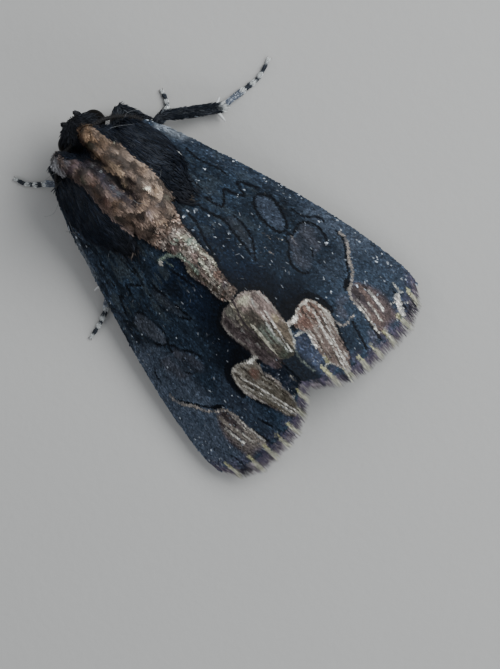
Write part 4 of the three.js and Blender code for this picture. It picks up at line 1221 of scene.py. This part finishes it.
# Soft dabs of the crest, as for dabbed(): the right lobe of the collar, the left lobe, the pale
# knots of the cleft, the left of the thorax, the middle, then the back.
CREST_DABS = [
    (-0.72, 0.5, 0.26, 0.28, (0.255, 0.165, 0.105), 0.9),
    (-0.28, 0.7, 0.15, 0.32, (0.07, 0.038, 0.027), 0.85),
    (-0.45, 1.25, 0.18, 0.26, (0.125, 0.108, 0.062), 0.75),
    (-0.8, 1.45, 0.12, 0.15, (0.06, 0.042, 0.03), 0.75),
    (-0.88, 2.43, 0.12, 0.18, (0.07, 0.048, 0.034), 0.75),
    (-0.83, 3.06, 0.13, 0.24, (0.05, 0.034, 0.024), 0.85),
    (-1.38, 1.84, 0.14, 0.13, (0.24, 0.25, 0.19), 0.85),
    (-0.66, 3.8, 0.14, 0.38, (0.02, 0.011, 0.008), 0.92),
    (-0.55, 2.85, 0.14, 0.6, (0.31, 0.225, 0.15), 0.85),
    (-0.36, 3.6, 0.12, 0.2, (0.12, 0.098, 0.06), 0.6),
    (1.05, 1.25, 0.36, 0.17, (0.034, 0.022, 0.029), 0.85),
    (0.96, 0.9, 0.22, 0.15, (0.11, 0.11, 0.125), 0.6), (0.71, 1.3, 0.15, 0.13, (0.12, 0.085, 0.09), 0.7),
    (0.29, 1.92, 0.1, 0.1, (0.2, 0.2, 0.2), 0.7), (0.16, 2.37, 0.08, 0.1, (0.27, 0.28, 0.28), 0.85),
    (0.13, 2.75, 0.08, 0.22, (0.075, 0.07, 0.105), 0.8),
    (0.21, 3.35, 0.07, 0.12, (0.12, 0.13, 0.145), 0.75),
    (0.23, 3.75, 0.07, 0.11, (0.11, 0.12, 0.13), 0.75),
    (0.85, 2.6, 0.17, 0.26, (0.066, 0.034, 0.024), 0.88),
    (0.97, 3.03, 0.15, 0.24, (0.062, 0.038, 0.026), 0.88),
    (0.86, 3.63, 0.2, 0.24, (0.052, 0.027, 0.02), 0.88),
    (1.04, 2.2, 0.13, 0.2, (0.11, 0.108, 0.075), 0.7),
    (0.62, 3.22, 0.18, 0.22, (0.21, 0.15, 0.125), 0.85),
    (0.51, 2.15, 0.16, 0.18, (0.175, 0.12, 0.11), 0.85),
    (0.66, 4.08, 0.27, 0.27, (0.19, 0.122, 0.08), 0.88),
    (0.78, 4.98, 0.17, 0.2, (0.28, 0.185, 0.13), 0.9),
    (1.12, 4.63, 0.15, 0.3, (0.112, 0.102, 0.078), 0.75),
    (0.84, 4.7, 0.05, 0.16, (0.03, 0.02, 0.015), 0.85),
    (-0.05, 4.4, 0.4, 0.45, (0.03, 0.023, 0.026), 0.88),
    (0.22, 5.42, 0.16, 0.18, (0.038, 0.027, 0.023), 0.85),
    (0.28, 6.12, 0.24, 0.26, (0.032, 0.022, 0.017), 0.88),
    (-0.08, 6.25, 0.26, 0.22, (0.045, 0.03, 0.022), 0.85),
    (-0.48, 6.32, 0.24, 0.15, (0.042, 0.026, 0.017), 0.88),
    (-0.85, 5.46, 0.18, 0.17, (0.3, 0.24, 0.215), 0.85),
    (-0.2, 5.43, 0.11, 0.13, (0.3, 0.24, 0.24), 0.75),
    (-1.28, 5.52, 0.15, 0.15, (0.4, 0.36, 0.28), 0.85), (-0.9, 6.6, 0.2, 0.3, (0.24, 0.225, 0.18), 0.7),
    (-1.03, 4.52, 0.12, 0.085, (0.95, 0.9, 0.74), 1.0),
]


def crest_colour(x, y):
    """The brown crest seen from above: an orange-tan right collar lobe with a pale margin and a pale
    right flank partly brightened with painted light, a duller left one and a left side darkened
    with painted shade, a dark cleft deepened with painted shade, with pale knots down the middle,
    and a mottled back, with painted shade between its lumps and painted highlights on their tops."""
    fine = mottle(x, y, 0.12, 31)
    coarse = mottle(x, y, (0.34, 0.5), 32)
    pinkish = mottle(x, y, (0.26, 0.36), 33)
    lumps = mottle(x, y, (0.24, 0.3), 35)
    colour = alike((0.165, 0.115, 0.087), x)
    # Painted shade: the left half of the crest, away from the light, is darkened, and the left lobe of the
    # collar most of all.
    colour = lay(colour, (0.09, 0.06, 0.05), 0.85 * ease(x, -0.1, 0.3) * ease(4.6 - y, 0.0, 1.0))
    colour = lay(colour, (0.056, 0.04, 0.038), 0.85 * ease(x, 0.1, 0.4) * ease(2.3 - y, 0.0, 0.6))
    colour = lay(colour, (0.165, 0.101, 0.058), 0.85 * ease(-x, -0.1, 0.3) * ease(2.6 - y, 0.0, 1.2))
    # The pale tan right flank: the hair's own tone, partly brightened with painted light on the side the
    # light falls on.
    colour = lay(colour, (0.25, 0.188, 0.146), 0.85 * ease(-x, 0.65, 1.1) * ease(y, 1.3, 2.4))
    colour = lay(colour, (0.17, 0.128, 0.118),
                 0.7 * stroke(x, y, CREST_LEFT, 0.3, 0.25) * ease(y, 1.0, 1.8))
    colour = lay(colour, (0.055, 0.034, 0.025), 0.6 * ease(coarse, 0.56, 0.7))
    colour = lay(colour, (0.25, 0.19, 0.155),
                 0.5 * ease(pinkish, 0.6, 0.75) * (0.4 + 0.6 * ease(-x, -0.2, 0.2)))
    margin = stroke(x, y, [(-0.8, 0.22), (-1.12, 0.55), (-1.22, 1.0), (-1.25, 1.5)], 0.22, 0.2)
    colour = lay(colour, (0.28, 0.205, 0.15), 0.75 * margin * (0.5 + 0.6 * fine))
    # The dark cleft between the lobes: dark scales, deepened with painted shade in the groove.
    cleft = stroke(x, y, [(0.1, 0.2), (0.0, 1.2), (-0.08, 2.2), (-0.16, 3.2), (-0.1, 4.2)], 0.5, 0.4)
    colour = lay(colour, (0.011, 0.01, 0.013), 0.92 * cleft)
    slate = stroke(x, y, [(0.45, 1.5), (0.26, 2.3), (0.28, 3.1), (0.3, 3.6), (0.15, 4.1)], 0.34, 0.2)
    colour = lay(colour, (0.036, 0.032, 0.04), 0.88 * slate)
    colour = dabbed(colour, x, y, CREST_DABS)
    # Painted shade between the lumps of the tufts, painted highlights on their tops on the lit right side,
    # and painted shading that darkens the crest between lumps and brightens it on them.
    colour = lay(colour, 0.28 * colour, 0.85 * ease(0.46 - lumps, 0.0, 0.16) * (0.4 + 0.6 * fine))
    colour = lay(colour, (0.44, 0.31, 0.2),
                 0.36 * ease(lumps, 0.58, 0.74) * ease(-x, -0.3, 0.2) * ease(fine, 0.3, 0.7))
    colour = colour * (0.38 + 0.52 * fine + 0.72 * ease(lumps, 0.35, 0.8))[:, None]
    tip = stroke(x, y, [(1.15, -0.3), (1.42, 0.3), (1.58, 0.7), (1.64, 1.0)], 0.56, 0.3)
    return lay(colour, (0.62, 0.61, 0.63), 0.95 * tip * (0.3 + 0.7 * fine))


def leg_places(points):
    """For each point: which leg is nearest, how far outside its skin the point lies, the running
    number there, and the leg's direction."""
    best = np.full(len(points), 9.0)
    which = np.zeros(len(points), int)
    number = np.zeros(len(points))
    ahead = alike((0.0, 1.0, 0.0), points)
    for index, (path, radii, numbers) in enumerate(COURSES.values()):
        low, high = path.min(0) - 0.8, path.max(0) + 0.8
        close = np.flatnonzero(((points > low) & (points < high)).all(1))
        gap = np.linalg.norm(points[close][:, None] - path, axis=-1) - radii
        nearest = gap.argmin(1)
        gap = gap[np.arange(len(close)), nearest]
        nearer = gap < best[close]
        at = close[nearer]
        best[at] = gap[nearer]
        which[at] = index
        number[at] = numbers[nearest[nearer]]
        ahead[at] = unit(np.gradient(path, axis=0))[nearest[nearer]]
    return which, best, number, ahead


CREST, DARK, ABDOMEN, PALP, LEG = range(5)


def regions(points):
    """Which part of the coat each point of the skin belongs to, with its leg, the running number
    on the leg and the leg's direction."""
    x, y, z = points.T
    which, gap, number, ahead = leg_places(points)
    region = np.full(len(points), DARK)
    region[(y > 5.9) & (z < 4.1)] = ABDOMEN
    on_top = z > 4.1 - 0.5 * ease(x, 1.0, 1.2) * ease(0.9 - y, 0.0, 0.3)
    region[on_top & (filled(x, y, CREST_OUTLINE, 0.02) > 0.5)] = CREST
    for path in PALPS.values():
        region[np.linalg.norm(points[:, None] - path, axis=-1).min(1) < 0.24] = PALP
    on_leg = (gap < 0.05) & ((number > 0.35) | (np.abs(x) > 1.9))
    region[on_leg] = LEG
    return region, which, number, ahead


def leg_colour(number, points):
    """Blue-black scales, grey blue on the first tarsomere, and whitish at the end of the tibia
    and of each tarsomere."""
    colour = alike((0.01, 0.013, 0.019), number)
    fine = mottle(points[:, 0] + points[:, 1], points[:, 2], 0.2, 41)
    colour = lay(colour, (0.035, 0.039, 0.048), 0.8 * ease(fine, 0.55, 0.8))
    on_tarsus = number > 2.0
    within = number - 2.0
    colour = lay(colour, (0.036, 0.043, 0.056), 0.8 * on_tarsus)
    colour = lay(colour, (0.16, 0.185, 0.235),
                 0.85 * on_tarsus * ease(0.44 - within, 0.0, 0.04) * (0.35 + 0.8 * fine))
    ring = ease(within, 0.9, 0.94)
    for joint in TARSOMERES[1:4]:
        ring = np.maximum(ring, 1.0 - ease(np.abs(within - joint + 0.035), 0.02, 0.036))
    ring = np.where(on_tarsus, ring, 0.0)
    ankle = 1.0 - ease(np.abs(number - 1.97), 0.03, 0.07)
    return lay(colour, (0.64, 0.65, 0.63), 0.97 * np.maximum(ring, ankle))


def body_colour(points, region, number):
    """The markings of the body, used by its skin and by its coat."""
    x, y, z = points.T
    colour = alike((0.006, 0.0085, 0.0145), points)
    colour = lay(colour, (0.019, 0.023, 0.032), 0.8 * ease(mottle(x, y + z, 0.3, 42), 0.5, 0.85))
    colour = lay(colour, (0.022, 0.021, 0.022), 0.5 * ease(y, 4.6, 6.4) * (z > 3.0))
    colour = lay(colour, (0.019, 0.02, 0.024), 0.8 * ease(1.0 - y, 0.0, 0.6))
    colour = lay(colour, (0.07, 0.06, 0.052), 0.8 * ease(3.0 - z, 0.0, 0.8) * (y > 1.2))
    back = region == ABDOMEN
    grey = lay(alike((0.098, 0.083, 0.07), points), (0.055, 0.045, 0.038),
               ease(mottle(x, y, 0.5, 43), 0.45, 0.75))
    colour[back] = grey[back]
    crest = region == CREST
    colour[crest] = crest_colour(x[crest], y[crest])
    palp = region == PALP
    colour[palp] = (0.03, 0.03, 0.034)
    leg = region == LEG
    colour[leg] = leg_colour(number[leg], points[leg])
    for place in [(-3.13, 4.06), (-3.38, 4.13)]:
        on_fleck = (np.hypot(x - place[0], y - place[1]) < 0.07) & (z > 3.0)
        colour[on_fleck] = (0.55, 0.55, 0.52)
    return colour


skin_region, _, skin_number, _ = regions(skin_points)
material = tinted_material("body_skin", 0.6, 0.3, 0.08, (0.7, 0.35), pores=0.08, depth=0.03, detail=4.0)
skin = build("body_skin", skin_points, skin_quads, material,
             body_colour(skin_points, skin_region, skin_number))
TRUNK = ["thorax", "head", "abdomen"]
TRUNK += [f"{piece}_{name}" for piece in ["palp", "collar", "tegula"] for name in SIDES]
TRUNK += [f"{piece}_{name}" for piece in ["femur", "tibia", "tarsus"] for name in LEGS]
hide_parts(*TRUNK)

# ------------------------------------------------------------------------------ body coat
# Hair-scales grow from the skin and sweep back over it: broad and ruffled on the crest, fine
# and sleek on the tegulae and head, shaggy on the abdomen and femora, flat on the tarsi.
PLUME = (
    np.array([(0.0, 0.0, 0.0), (0.4, 0.22, 0.0), (0.8, 0.5, 0.0), (1.0, 0.26, 0.0), (1.0, -0.26, 0.0),
              (0.8, -0.5, 0.0), (0.4, -0.22, 0.0), (0.55, 0.0, -0.2)]),
    np.array([(0, 6, 1), (6, 5, 2), (6, 2, 1), (5, 4, 3), (5, 3, 2), (6, 0, 7), (5, 6, 7), (4, 5, 7),
              (3, 4, 7),
              (2, 3, 7), (1, 2, 7), (0, 1, 7)]),
)


def sown(chance, spacing, wanted):
    """Roots on the skin about `spacing` mm apart, where wanted() says so: random places on its
    faces by area, thinned to one for each cell of a shifted grid. Returns points and normals."""
    corners = skin_points[skin_quads]
    diagonals = np.cross(corners[:, 2] - corners[:, 0], corners[:, 3] - corners[:, 1])
    area = 0.5 * np.linalg.norm(diagonals, axis=1)
    keep = wanted(corners.mean(1))
    pool = np.flatnonzero(keep)
    count = int(area[pool].sum() / spacing ** 2 * 3.0)
    face = pool[np.searchsorted(np.cumsum(area[pool]) / area[pool].sum(), chance.random(count))]
    u, v = chance.random((2, count, 1))
    quad, lean = skin_points[skin_quads[face]], skin_normals[skin_quads[face]]

    def between(corner):
        near = corner[:, 0] * (1 - u) + corner[:, 1] * u
        return near * (1 - v) + (corner[:, 3] * (1 - u) + corner[:, 2] * u) * v

    points, normals = between(quad), unit(between(lean))
    cell = np.floor(points / (spacing * 1.15) + chance.random(3)).astype(int) + 500
    _, first = np.unique((cell * (1, 2000, 4000000)).sum(1), return_index=True)
    return points[first], normals[first]


def swept(lie, normals):
    """The lie of the coat, eased upwards where it would run straight into the skin."""
    facing = np.abs((lie * normals).sum(-1, keepdims=True))
    return lie + 0.25 * facing * np.array([0.0, 0.0, 1.0])


def round_body(points):
    """Place on the unwrapped trunk: the angle round its long axis, and the length along it."""
    angle = np.arctan2(points[:, 0], points[:, 2] - 3.0) / (2 * np.pi) + 0.5
    return np.stack([0.03 + 0.94 * angle, 0.03 + 0.94 * (points[:, 1] + 1.2) / 17.5], -1)


body_coat = scale_material("body_hair_scales", 0.6, 0.2)
dark_coat = scale_material("dark_hair_scales", 0.5, 0.15)


def matted(points, seed):
    """A smooth random push in space, alike for neighbours, which draws the coat into tufts."""
    x, y, z = points.T
    return np.stack([mottle(x + 0.5 * z, y, 0.45, seed + turn) - 0.5 for turn in range(3)], -1)


def coat(name, spacing, seed, wanted, region_wanted, template, length, width, lift, curl, lie, spread, slot,
         material, uneven=0.35, follow=0.0, clump=0.0):
    """Sows one region of the skin, colours each tuft at its root, and plants it. Where the lie
    leaves the skin, `follow` lets the tuft leave it too; `clump` draws neighbours together."""
    chance = np.random.default_rng(seed)
    points, normals = sown(chance, spacing, wanted)
    region, _, number, _ = regions(points)
    keep = region_wanted(region, points)
    points, normals, region, number = points[keep], normals[keep], region[keep], number[keep]
    direction = unit(swept(lie(points), normals) + clump * matted(points, seed))
    leaving = np.clip((direction * normals).sum(-1), 0.0, 0.75)
    direction = turned(chance, direction, normals, spread)
    tint = varied(chance, body_colour(points, region, number), uneven)
    size = (length(points) if callable(length) else length) * chance.uniform(0.75, 1.18, len(points))
    lift = lift * chance.uniform(0.4, 1.5, len(points)) + follow * leaving / np.sqrt(1.0 - leaving ** 2)
    width = width * chance.uniform(0.8, 1.2, len(points))
    made = plant(name, template, points - 0.02 * normals, direction, normals, size, width, lift, curl,
                 tint, round_body(points), material, smooth=template is LOCK)
    return made


def rearward(points):
    """Straight back, climbing the fronts of collar and tegulae, and a little outwards and down
    on the flanks."""
    x, y, z = points.T
    out = np.abs(x)
    climb = 1.1 * ease(1.5 + 0.6 * ease(out, 1.2, 1.8) - y, 0.0, 1.2) * ease(z, 3.4, 4.4)
    return np.stack([0.25 * np.sign(x) * ease(out, 0.8, 2.0), np.ones(len(x)),
                     climb - 0.25 * ease(out, 1.0, 2.0)], -1)


def along_crest(points):
    """As rearward, but outwards at the tip of the left lobe and drawn in at the back, where the
    crest narrows into the stripe of the wings."""
    x, y, _ = points.T
    lie = rearward(points)
    at_tip = np.exp(-((x - 1.5) ** 2 + (y - 0.55) ** 2) / 0.4 ** 2)
    lie[:, 0] += 0.9 * at_tip - 0.25 * x * ease(y, 3.8, 5.0)
    lie[:, 1] -= 0.5 * at_tip
    return lie


def over_head(points):
    """From the face up and over the crown, parting to both sides over the eyes."""
    x, _, z = points.T
    across = x - HEAD[0]
    brow = ease(np.abs(across), 0.35, 0.8) * ease(1.4 - np.abs(across), 0.0, 0.3) * ease(z, 3.3, 3.8)
    over = 0.5 * ease(HEAD[2] + 0.6 - z, 0.0, 0.8)
    return np.stack([(1.1 + 1.2 * brow) * across, 0.9 - 0.8 * brow, over * (1.0 - brow) - 0.3 * brow], -1)


def dark_length(points):
    """Longest behind the tegulae, where the hair lies out over the wing; short at the neck."""
    x, y, _ = points.T
    return 0.42 + 0.2 * ease(y, 1.5, 3.0) + 0.4 * ease(y, 5.0, 6.2) * ease(np.abs(x), 1.0, 1.4)


def head_length(points):
    """Short on the face, and longer at the sides of the crown, over the eyes and feelers."""
    x, y, z = points.T
    beside = ease(np.abs(x - HEAD[0]), 0.4, 0.8) * ease(1.4 - np.abs(x - HEAD[0]), 0.0, 0.3)
    return 0.3 + 0.42 * beside * ease(z, 3.3, 3.8) * ease(0.5 - y, 0.0, 0.4)


def crest_length(points):
    """Short on the collar and crest, in soft lumps, and longer at the back and the left tip."""
    x, y, _ = points.T
    lumps = 0.35 + 1.3 * mottle(x, y, (0.24, 0.3), 35)
    return 0.21 * lumps + 0.08 * ease(y, 5.2, 6.0) + 0.24 * ease(x, 1.0, 1.4) * ease(1.4 - y, 0.0, 0.5)


coat("crest_plumes", 0.048, 61, lambda p: (p[:, 2] > 3.5) & (p[:, 1] < 7.2) & (np.abs(p[:, 0]) < 2.1),
     lambda region, p: region == CREST, PLUME, crest_length,
     width=0.062, lift=0.36, curl=-0.25, lie=along_crest, spread=0.24,
     slot="thorax_fur", material=body_coat, uneven=0.22, follow=0.8, clump=0.7)
coat("thorax_hair", 0.088, 62, lambda p: (p[:, 1] > 1.0) & (p[:, 1] < 7.2),
     lambda region, p: (region == DARK) & (p[:, 1] > 1.15), LOCK, dark_length,
     width=0.068, lift=0.16, curl=-0.2, lie=rearward, spread=0.16, slot="dark_fur", material=dark_coat,
     uneven=0.4, follow=0.3, clump=0.5)
coat("head_hair", 0.066, 63, lambda p: (p[:, 1] < 1.6) & (p[:, 2] > 2.0),
     lambda region, p: (region == DARK) & (p[:, 1] <= 1.25), LOCK, head_length,
     width=0.05, lift=0.32, curl=-0.1, lie=over_head, spread=0.2, slot="dark_fur", material=dark_coat,
     clump=0.6)
coat("palp_scales", 0.06, 64, lambda p: (p[:, 1] < 0.6) & (p[:, 2] < 3.6),
     lambda region, p: region == PALP, LOCK, length=0.13,
     width=0.04, lift=0.3, curl=0.0, lie=lambda p: alike((0.0, -0.8, 0.9), p), spread=0.2,
     slot="palp_fur", material=dark_coat)
coat("abdomen_hair", 0.135, 65, lambda p: p[:, 1] > 5.0,
     lambda region, p: region == ABDOMEN, LOCK, length=0.58,
     width=0.1, lift=0.22, curl=-0.18, lie=rearward, spread=0.16, slot="abdomen_fur", material=body_coat)

# Single long hairs that stand out from the coat, pale against the dark: three points of each.
STRAYS = [
    [(2.5, 1.8, 3.4), (3.5, 2.2, 3.0), (4.1, 1.95, 2.3)],
    [(3.75, 3.25, 2.9), (3.45, 3.6, 3.5), (3.05, 3.95, 3.9)],
    [(3.2, 3.0, 3.4), (3.45, 3.6, 3.3), (3.4, 4.2, 3.0)],
    [(-1.5, 4.75, 5.1), (-1.8, 4.7, 5.4), (-2.1, 4.5, 5.6)],
    [(-0.1, 4.6, 5.75), (-0.2, 4.95, 5.95), (-0.5, 5.2, 5.9)],
    [(-2.2, 1.5, 4.2), (-2.7, 1.3, 4.4), (-3.1, 1.5, 4.3)],
    [(-1.19, 1.26, 4.55), (-1.75, 1.34, 4.8), (-2.6, 1.95, 4.45)],
    [(1.75, 0.95, 4.2), (2.34, 0.81, 3.8), (2.96, 0.73, 3.2)],
]
STRAY_STEPS = 14
stray_radii = np.linspace(0.01, 0.004, STRAY_STEPS)
points, faces = joined([limb(run(points, STRAY_STEPS), stray_radii, 6) for points in STRAYS])
tone = alike((0.2, 0.205, 0.21), points)
strays = build("stray_hairs", points, faces, dark_coat, tone, round_body(points))

# ------------------------------------------------------------------------------ leg coats
# Each leg carries its own coat: long loose hair under the femur and behind the tibia, flat
# scales on the tarsus, with whitish scales at the joints.
for index, (name, (path, _, _)) in enumerate(COURSES.items()):
    chance = np.random.default_rng(80 + index)
    low, high = path.min(0) - 0.4, path.max(0) + 0.4
    points, normals = sown(chance, 0.062, lambda p: ((p > low) & (p < high)).all(1))
    region, which, number, ahead = regions(points)
    keep = (region == LEG) & (which == index)
    points, normals, number, ahead = points[keep], normals[keep], number[keep], ahead[keep]
    on_femur, on_tarsus = number < 1.0, number > 2.0
    below = ease(-normals[:, 2], 0.0, 0.8)
    tint = leg_colour(number, points)
    hairy = ~on_tarsus & (chance.random(len(points)) < 0.1 + 0.1 * below)
    tint[hairy] = lay(tint[hairy], (0.11, 0.12, 0.13), chance.uniform(0.0, 0.8, hairy.sum()))
    sparkling = (number > 2.0) & (number < 2.4) & (chance.random(len(points)) < 0.3)
    tint[sparkling] = (0.42, 0.45, 0.49)
    tint = varied(chance, tint, 0.25)
    length = np.where(on_femur, 0.26, np.where(on_tarsus, 0.15, 0.36))
    length = length + np.where(on_tarsus, 0.0, 0.1 * below)
    length = length * chance.uniform(0.7, 1.2, len(points))
    length = length * (1.0 - 0.5 * on_femur * ease(number, 0.75, 0.95))
    width = np.where(on_tarsus, 0.055, 0.042)
    lift = np.where(on_tarsus, 0.22, chance.uniform(0.14, 0.48, len(points)))
    lift = np.where((number > 1.85) & ~on_tarsus, 0.35, lift)
    lift = np.where(points[:, 2] < 0.16, 0.05, lift)
    direction = ahead + 0.16 * chance.normal(0, 1, points.shape)
    along = (number - np.floor(number)) * 0.3 + np.floor(number) / 3.0
    turn = np.arctan2(normals[:, 0], normals[:, 2]) / (2 * np.pi) + 0.5
    unwrap = np.stack([along, turn], -1)
    made = plant(f"leg_{name}_scales", LOCK, points - 0.01 * normals, direction, normals, length, width,
                 lift, -0.15, tint, unwrap, dark_coat, smooth=True)

# ------------------------------------------------------------------------------ spurs and claws
# Bare horny points: a pair of spurs at the end of the middle tibia and two pairs on the hind
# one, pale at their tips, and two hooked claws at the end of each tarsus.
horn = tinted_material("horn", 0.35, 0.5, 0.04, (0.5, 0.75), pores=0.03, depth=0.004)
THORN_STEPS, THORN_COLUMNS = 7, 8


def thorn(start, ahead, bend, length, thick, taper=0.7):
    """A curved point: circles that shrink as (1 - t) to the power `taper` along a bent line."""
    t = np.linspace(0.0, 1.0, THORN_STEPS)[:, None]
    path = start + length * (t * ahead + t * t * bend)
    return limb(path, thick * (1.0 - 0.96 * t[:, 0]) ** taper, THORN_COLUMNS)


# The running number of each pair's place on the leg, and how far the pair spreads.
SPURS = {"fore": [], "mid_": [(1.9, 1.7)], "hind": [(1.62, 0.6), (1.97, 0.5)]}
for name, (path, _, numbers) in COURSES.items():
    ahead, side, _ = frames_along(path[-6:])
    thorns = []
    for half in (-1, 1):
        claw_start = path[-1] + 0.05 * half * side[-1] - 0.02 * ahead[-1]
        claw_ahead = ahead[-1] + 0.45 * half * side[-1] + (0.0, 0.0, 0.25)
        thorns.append(thorn(claw_start, unit(claw_ahead), np.array((0.0, 0.0, -0.55)), 0.16, 0.022))
    for at, spread in SPURS[name[:4]]:
        spot = np.abs(numbers - at).argmin()
        direction = unit(path[spot + 1] - path[spot - 1])
        beside = unit(np.cross(direction, (0.0, 0.0, 1.0)))
        for half, length in ((-1, 0.62), (1, 0.85)):
            spur_ahead = unit(direction + spread * half * beside + (0.0, 0.0, -0.15))
            thorns.append(thorn(path[spot], spur_ahead, np.zeros(3), length, 0.1, 0.35))
    points, faces = joined(thorns)
    points[:, 2] = np.maximum(points[:, 2], 0.004)
    towards_tip = np.repeat(np.linspace(0.0, 1.0, THORN_STEPS + 2), THORN_COLUMNS)
    horny = alike((0.05, 0.035, 0.025), towards_tip)
    pale = lay(horny, (0.64, 0.64, 0.62), ease(towards_tip, 0.15, 0.3))
    tint = np.concatenate([horny] * 2 + [pale] * (len(thorns) - 2))
    build(f"spurs_{name}", points, faces, horn, tint)

# ------------------------------------------------------------------------------ eyes
# Each compound eye is a satin dark brown dome of fine six-sided facets, set in the head.
eye_gloss, shader, paint = new_material("eye_gloss", 0.42, 0.03)
where = paint.node("ShaderNodeTexCoord", output=3)
facets = paint.node("ShaderNodeTexVoronoi", {"feature": "DISTANCE_TO_EDGE"},
                    {"Vector": where, "Scale": 1.0 / (0.035 * MM), "Randomness": 0.15})
depth = paint.noise(0.5, 1.0) * 0.8 + 0.5
brown = paint.node("ShaderNodeCombineXYZ", None, {0: 0.007, 1: 0.006, 2: 0.0055})
feed(paint, shader, "Base Color", paint.tinted(brown, depth))
bumped(paint, shader, facets, 0.004, 0.8)
for name, side in SIDES.items():
    centre = HEAD + (side * 0.86, -0.14, -0.24)
    points, faces = rounded_mass(centre, (0.55, 0.58, 0.58), rows=40, columns=56)
    eye = build(f"compound_eye_{name}", points, faces, eye_gloss)
    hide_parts(f"eye_{name}")

# ------------------------------------------------------------------------------ antennae
# Thread-like feelers of about ninety rings, swept back from the head under the costa, scaled
# above and finely haired below.
ANTENNAE = {
    "right": [(-0.85, 0.5, 4.2), (-1.75, 0.75, 3.85), (-2.6, 1.5, 2.75), (-3.0, 2.6, 2.38),
              (-3.3, 4.0, 2.0), (-3.8, 6.0, 1.5), (-4.1, 8.4, 1.15)],
    "left": [(0.3, 0.5, 4.2), (1.5, 0.65, 3.9), (2.6, 1.45, 2.75), (3.15, 2.5, 2.2), (3.8, 4.0, 1.75),
             (4.3, 5.5, 1.35), (4.5, 7.0, 1.15), (4.6, 8.4, 1.0)],
}
RINGS = 88
RING_STEPS = 5
FEELER_COLUMNS = 12
FEELER_SCALES = 1300
feeler_finish = tinted_material("antenna_scales", 0.6, 0.12, 0.05, (0.7, 0.65), pores=0.03, depth=0.006)
for name, points in ANTENNAE.items():
    chance = np.random.default_rng(97 + len(name))
    steps = RINGS * RING_STEPS
    path = run(points, steps)
    t = np.linspace(0.0, 1.0, steps)
    ring = np.arange(steps) % RING_STEPS / RING_STEPS
    root = 1.0 + 0.7 * (1.0 - ease(t, 0.0, 0.03))
    radii = (0.105 - 0.055 * t) * root * (0.86 + 0.16 * np.sin(np.pi * ring))
    points, faces = limb(path, radii, FEELER_COLUMNS)
    round_ring = np.linspace(0, 2 * np.pi, FEELER_COLUMNS, endpoint=False)
    above = np.tile(np.sin(round_ring), steps + 2)
    dusk = alike((0.016, 0.015, 0.015), points)
    banded = np.repeat(np.r_[0.0, ease(ring, 0.5, 0.8), 0.0], FEELER_COLUMNS)
    tint = lay(dusk, (0.055, 0.05, 0.046), 0.7 * banded * ease(above, -0.2, 0.6))
    feeler = build(f"feeler_{name}", points, faces, feeler_finish, tint)
    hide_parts(f"antenna_{name}")

    _, side, over = frames_along(path)
    spot = chance.integers(4, steps - 4, FEELER_SCALES)
    turn = chance.uniform(0.0, 2 * np.pi, FEELER_SCALES)[:, None]
    normal = np.cos(turn) * side[spot] + np.sin(turn) * over[spot]
    ahead = unit(path[spot + 2] - path[spot - 2])
    top = turn[:, 0] < np.pi
    tint = varied(chance, np.where(top[:, None], (0.02, 0.02, 0.022), (0.035, 0.03, 0.028)), 0.3)
    unwrap = np.stack([0.05 + 0.9 * spot / steps, 0.05 + 0.9 * turn[:, 0] / (2 * np.pi)], -1)
    roots = path[spot] + normal * radii[spot, None] * 0.9
    length, width = np.where(top, 0.11, 0.13), np.where(top, 0.04, 0.018)
    made = plant(f"feeler_{name}_scales", LOCK, roots, ahead, normal, length, width,
                 np.where(top, 0.15, 0.9), 0.0, tint, unwrap, dark_coat, smooth=True)

# ------------------------------------------------------------------------------ tongue
# The coiled tongue is held like a watch spring between the palps.
COILS = 2.6
turns = np.linspace(0.0, COILS * 2 * np.pi, 120)
spiral = 0.3 - 0.075 * turns / (2 * np.pi)
coil = HEAD + np.stack([0.0 * turns, -0.55 - spiral * np.cos(turns), -1.02 + spiral * np.sin(turns)], -1)
points, faces = limb(coil, 0.045 - 0.018 * turns / turns[-1], 10)
tint = alike((0.075, 0.045, 0.025), points)
build("tongue", points, faces, horn, tint)
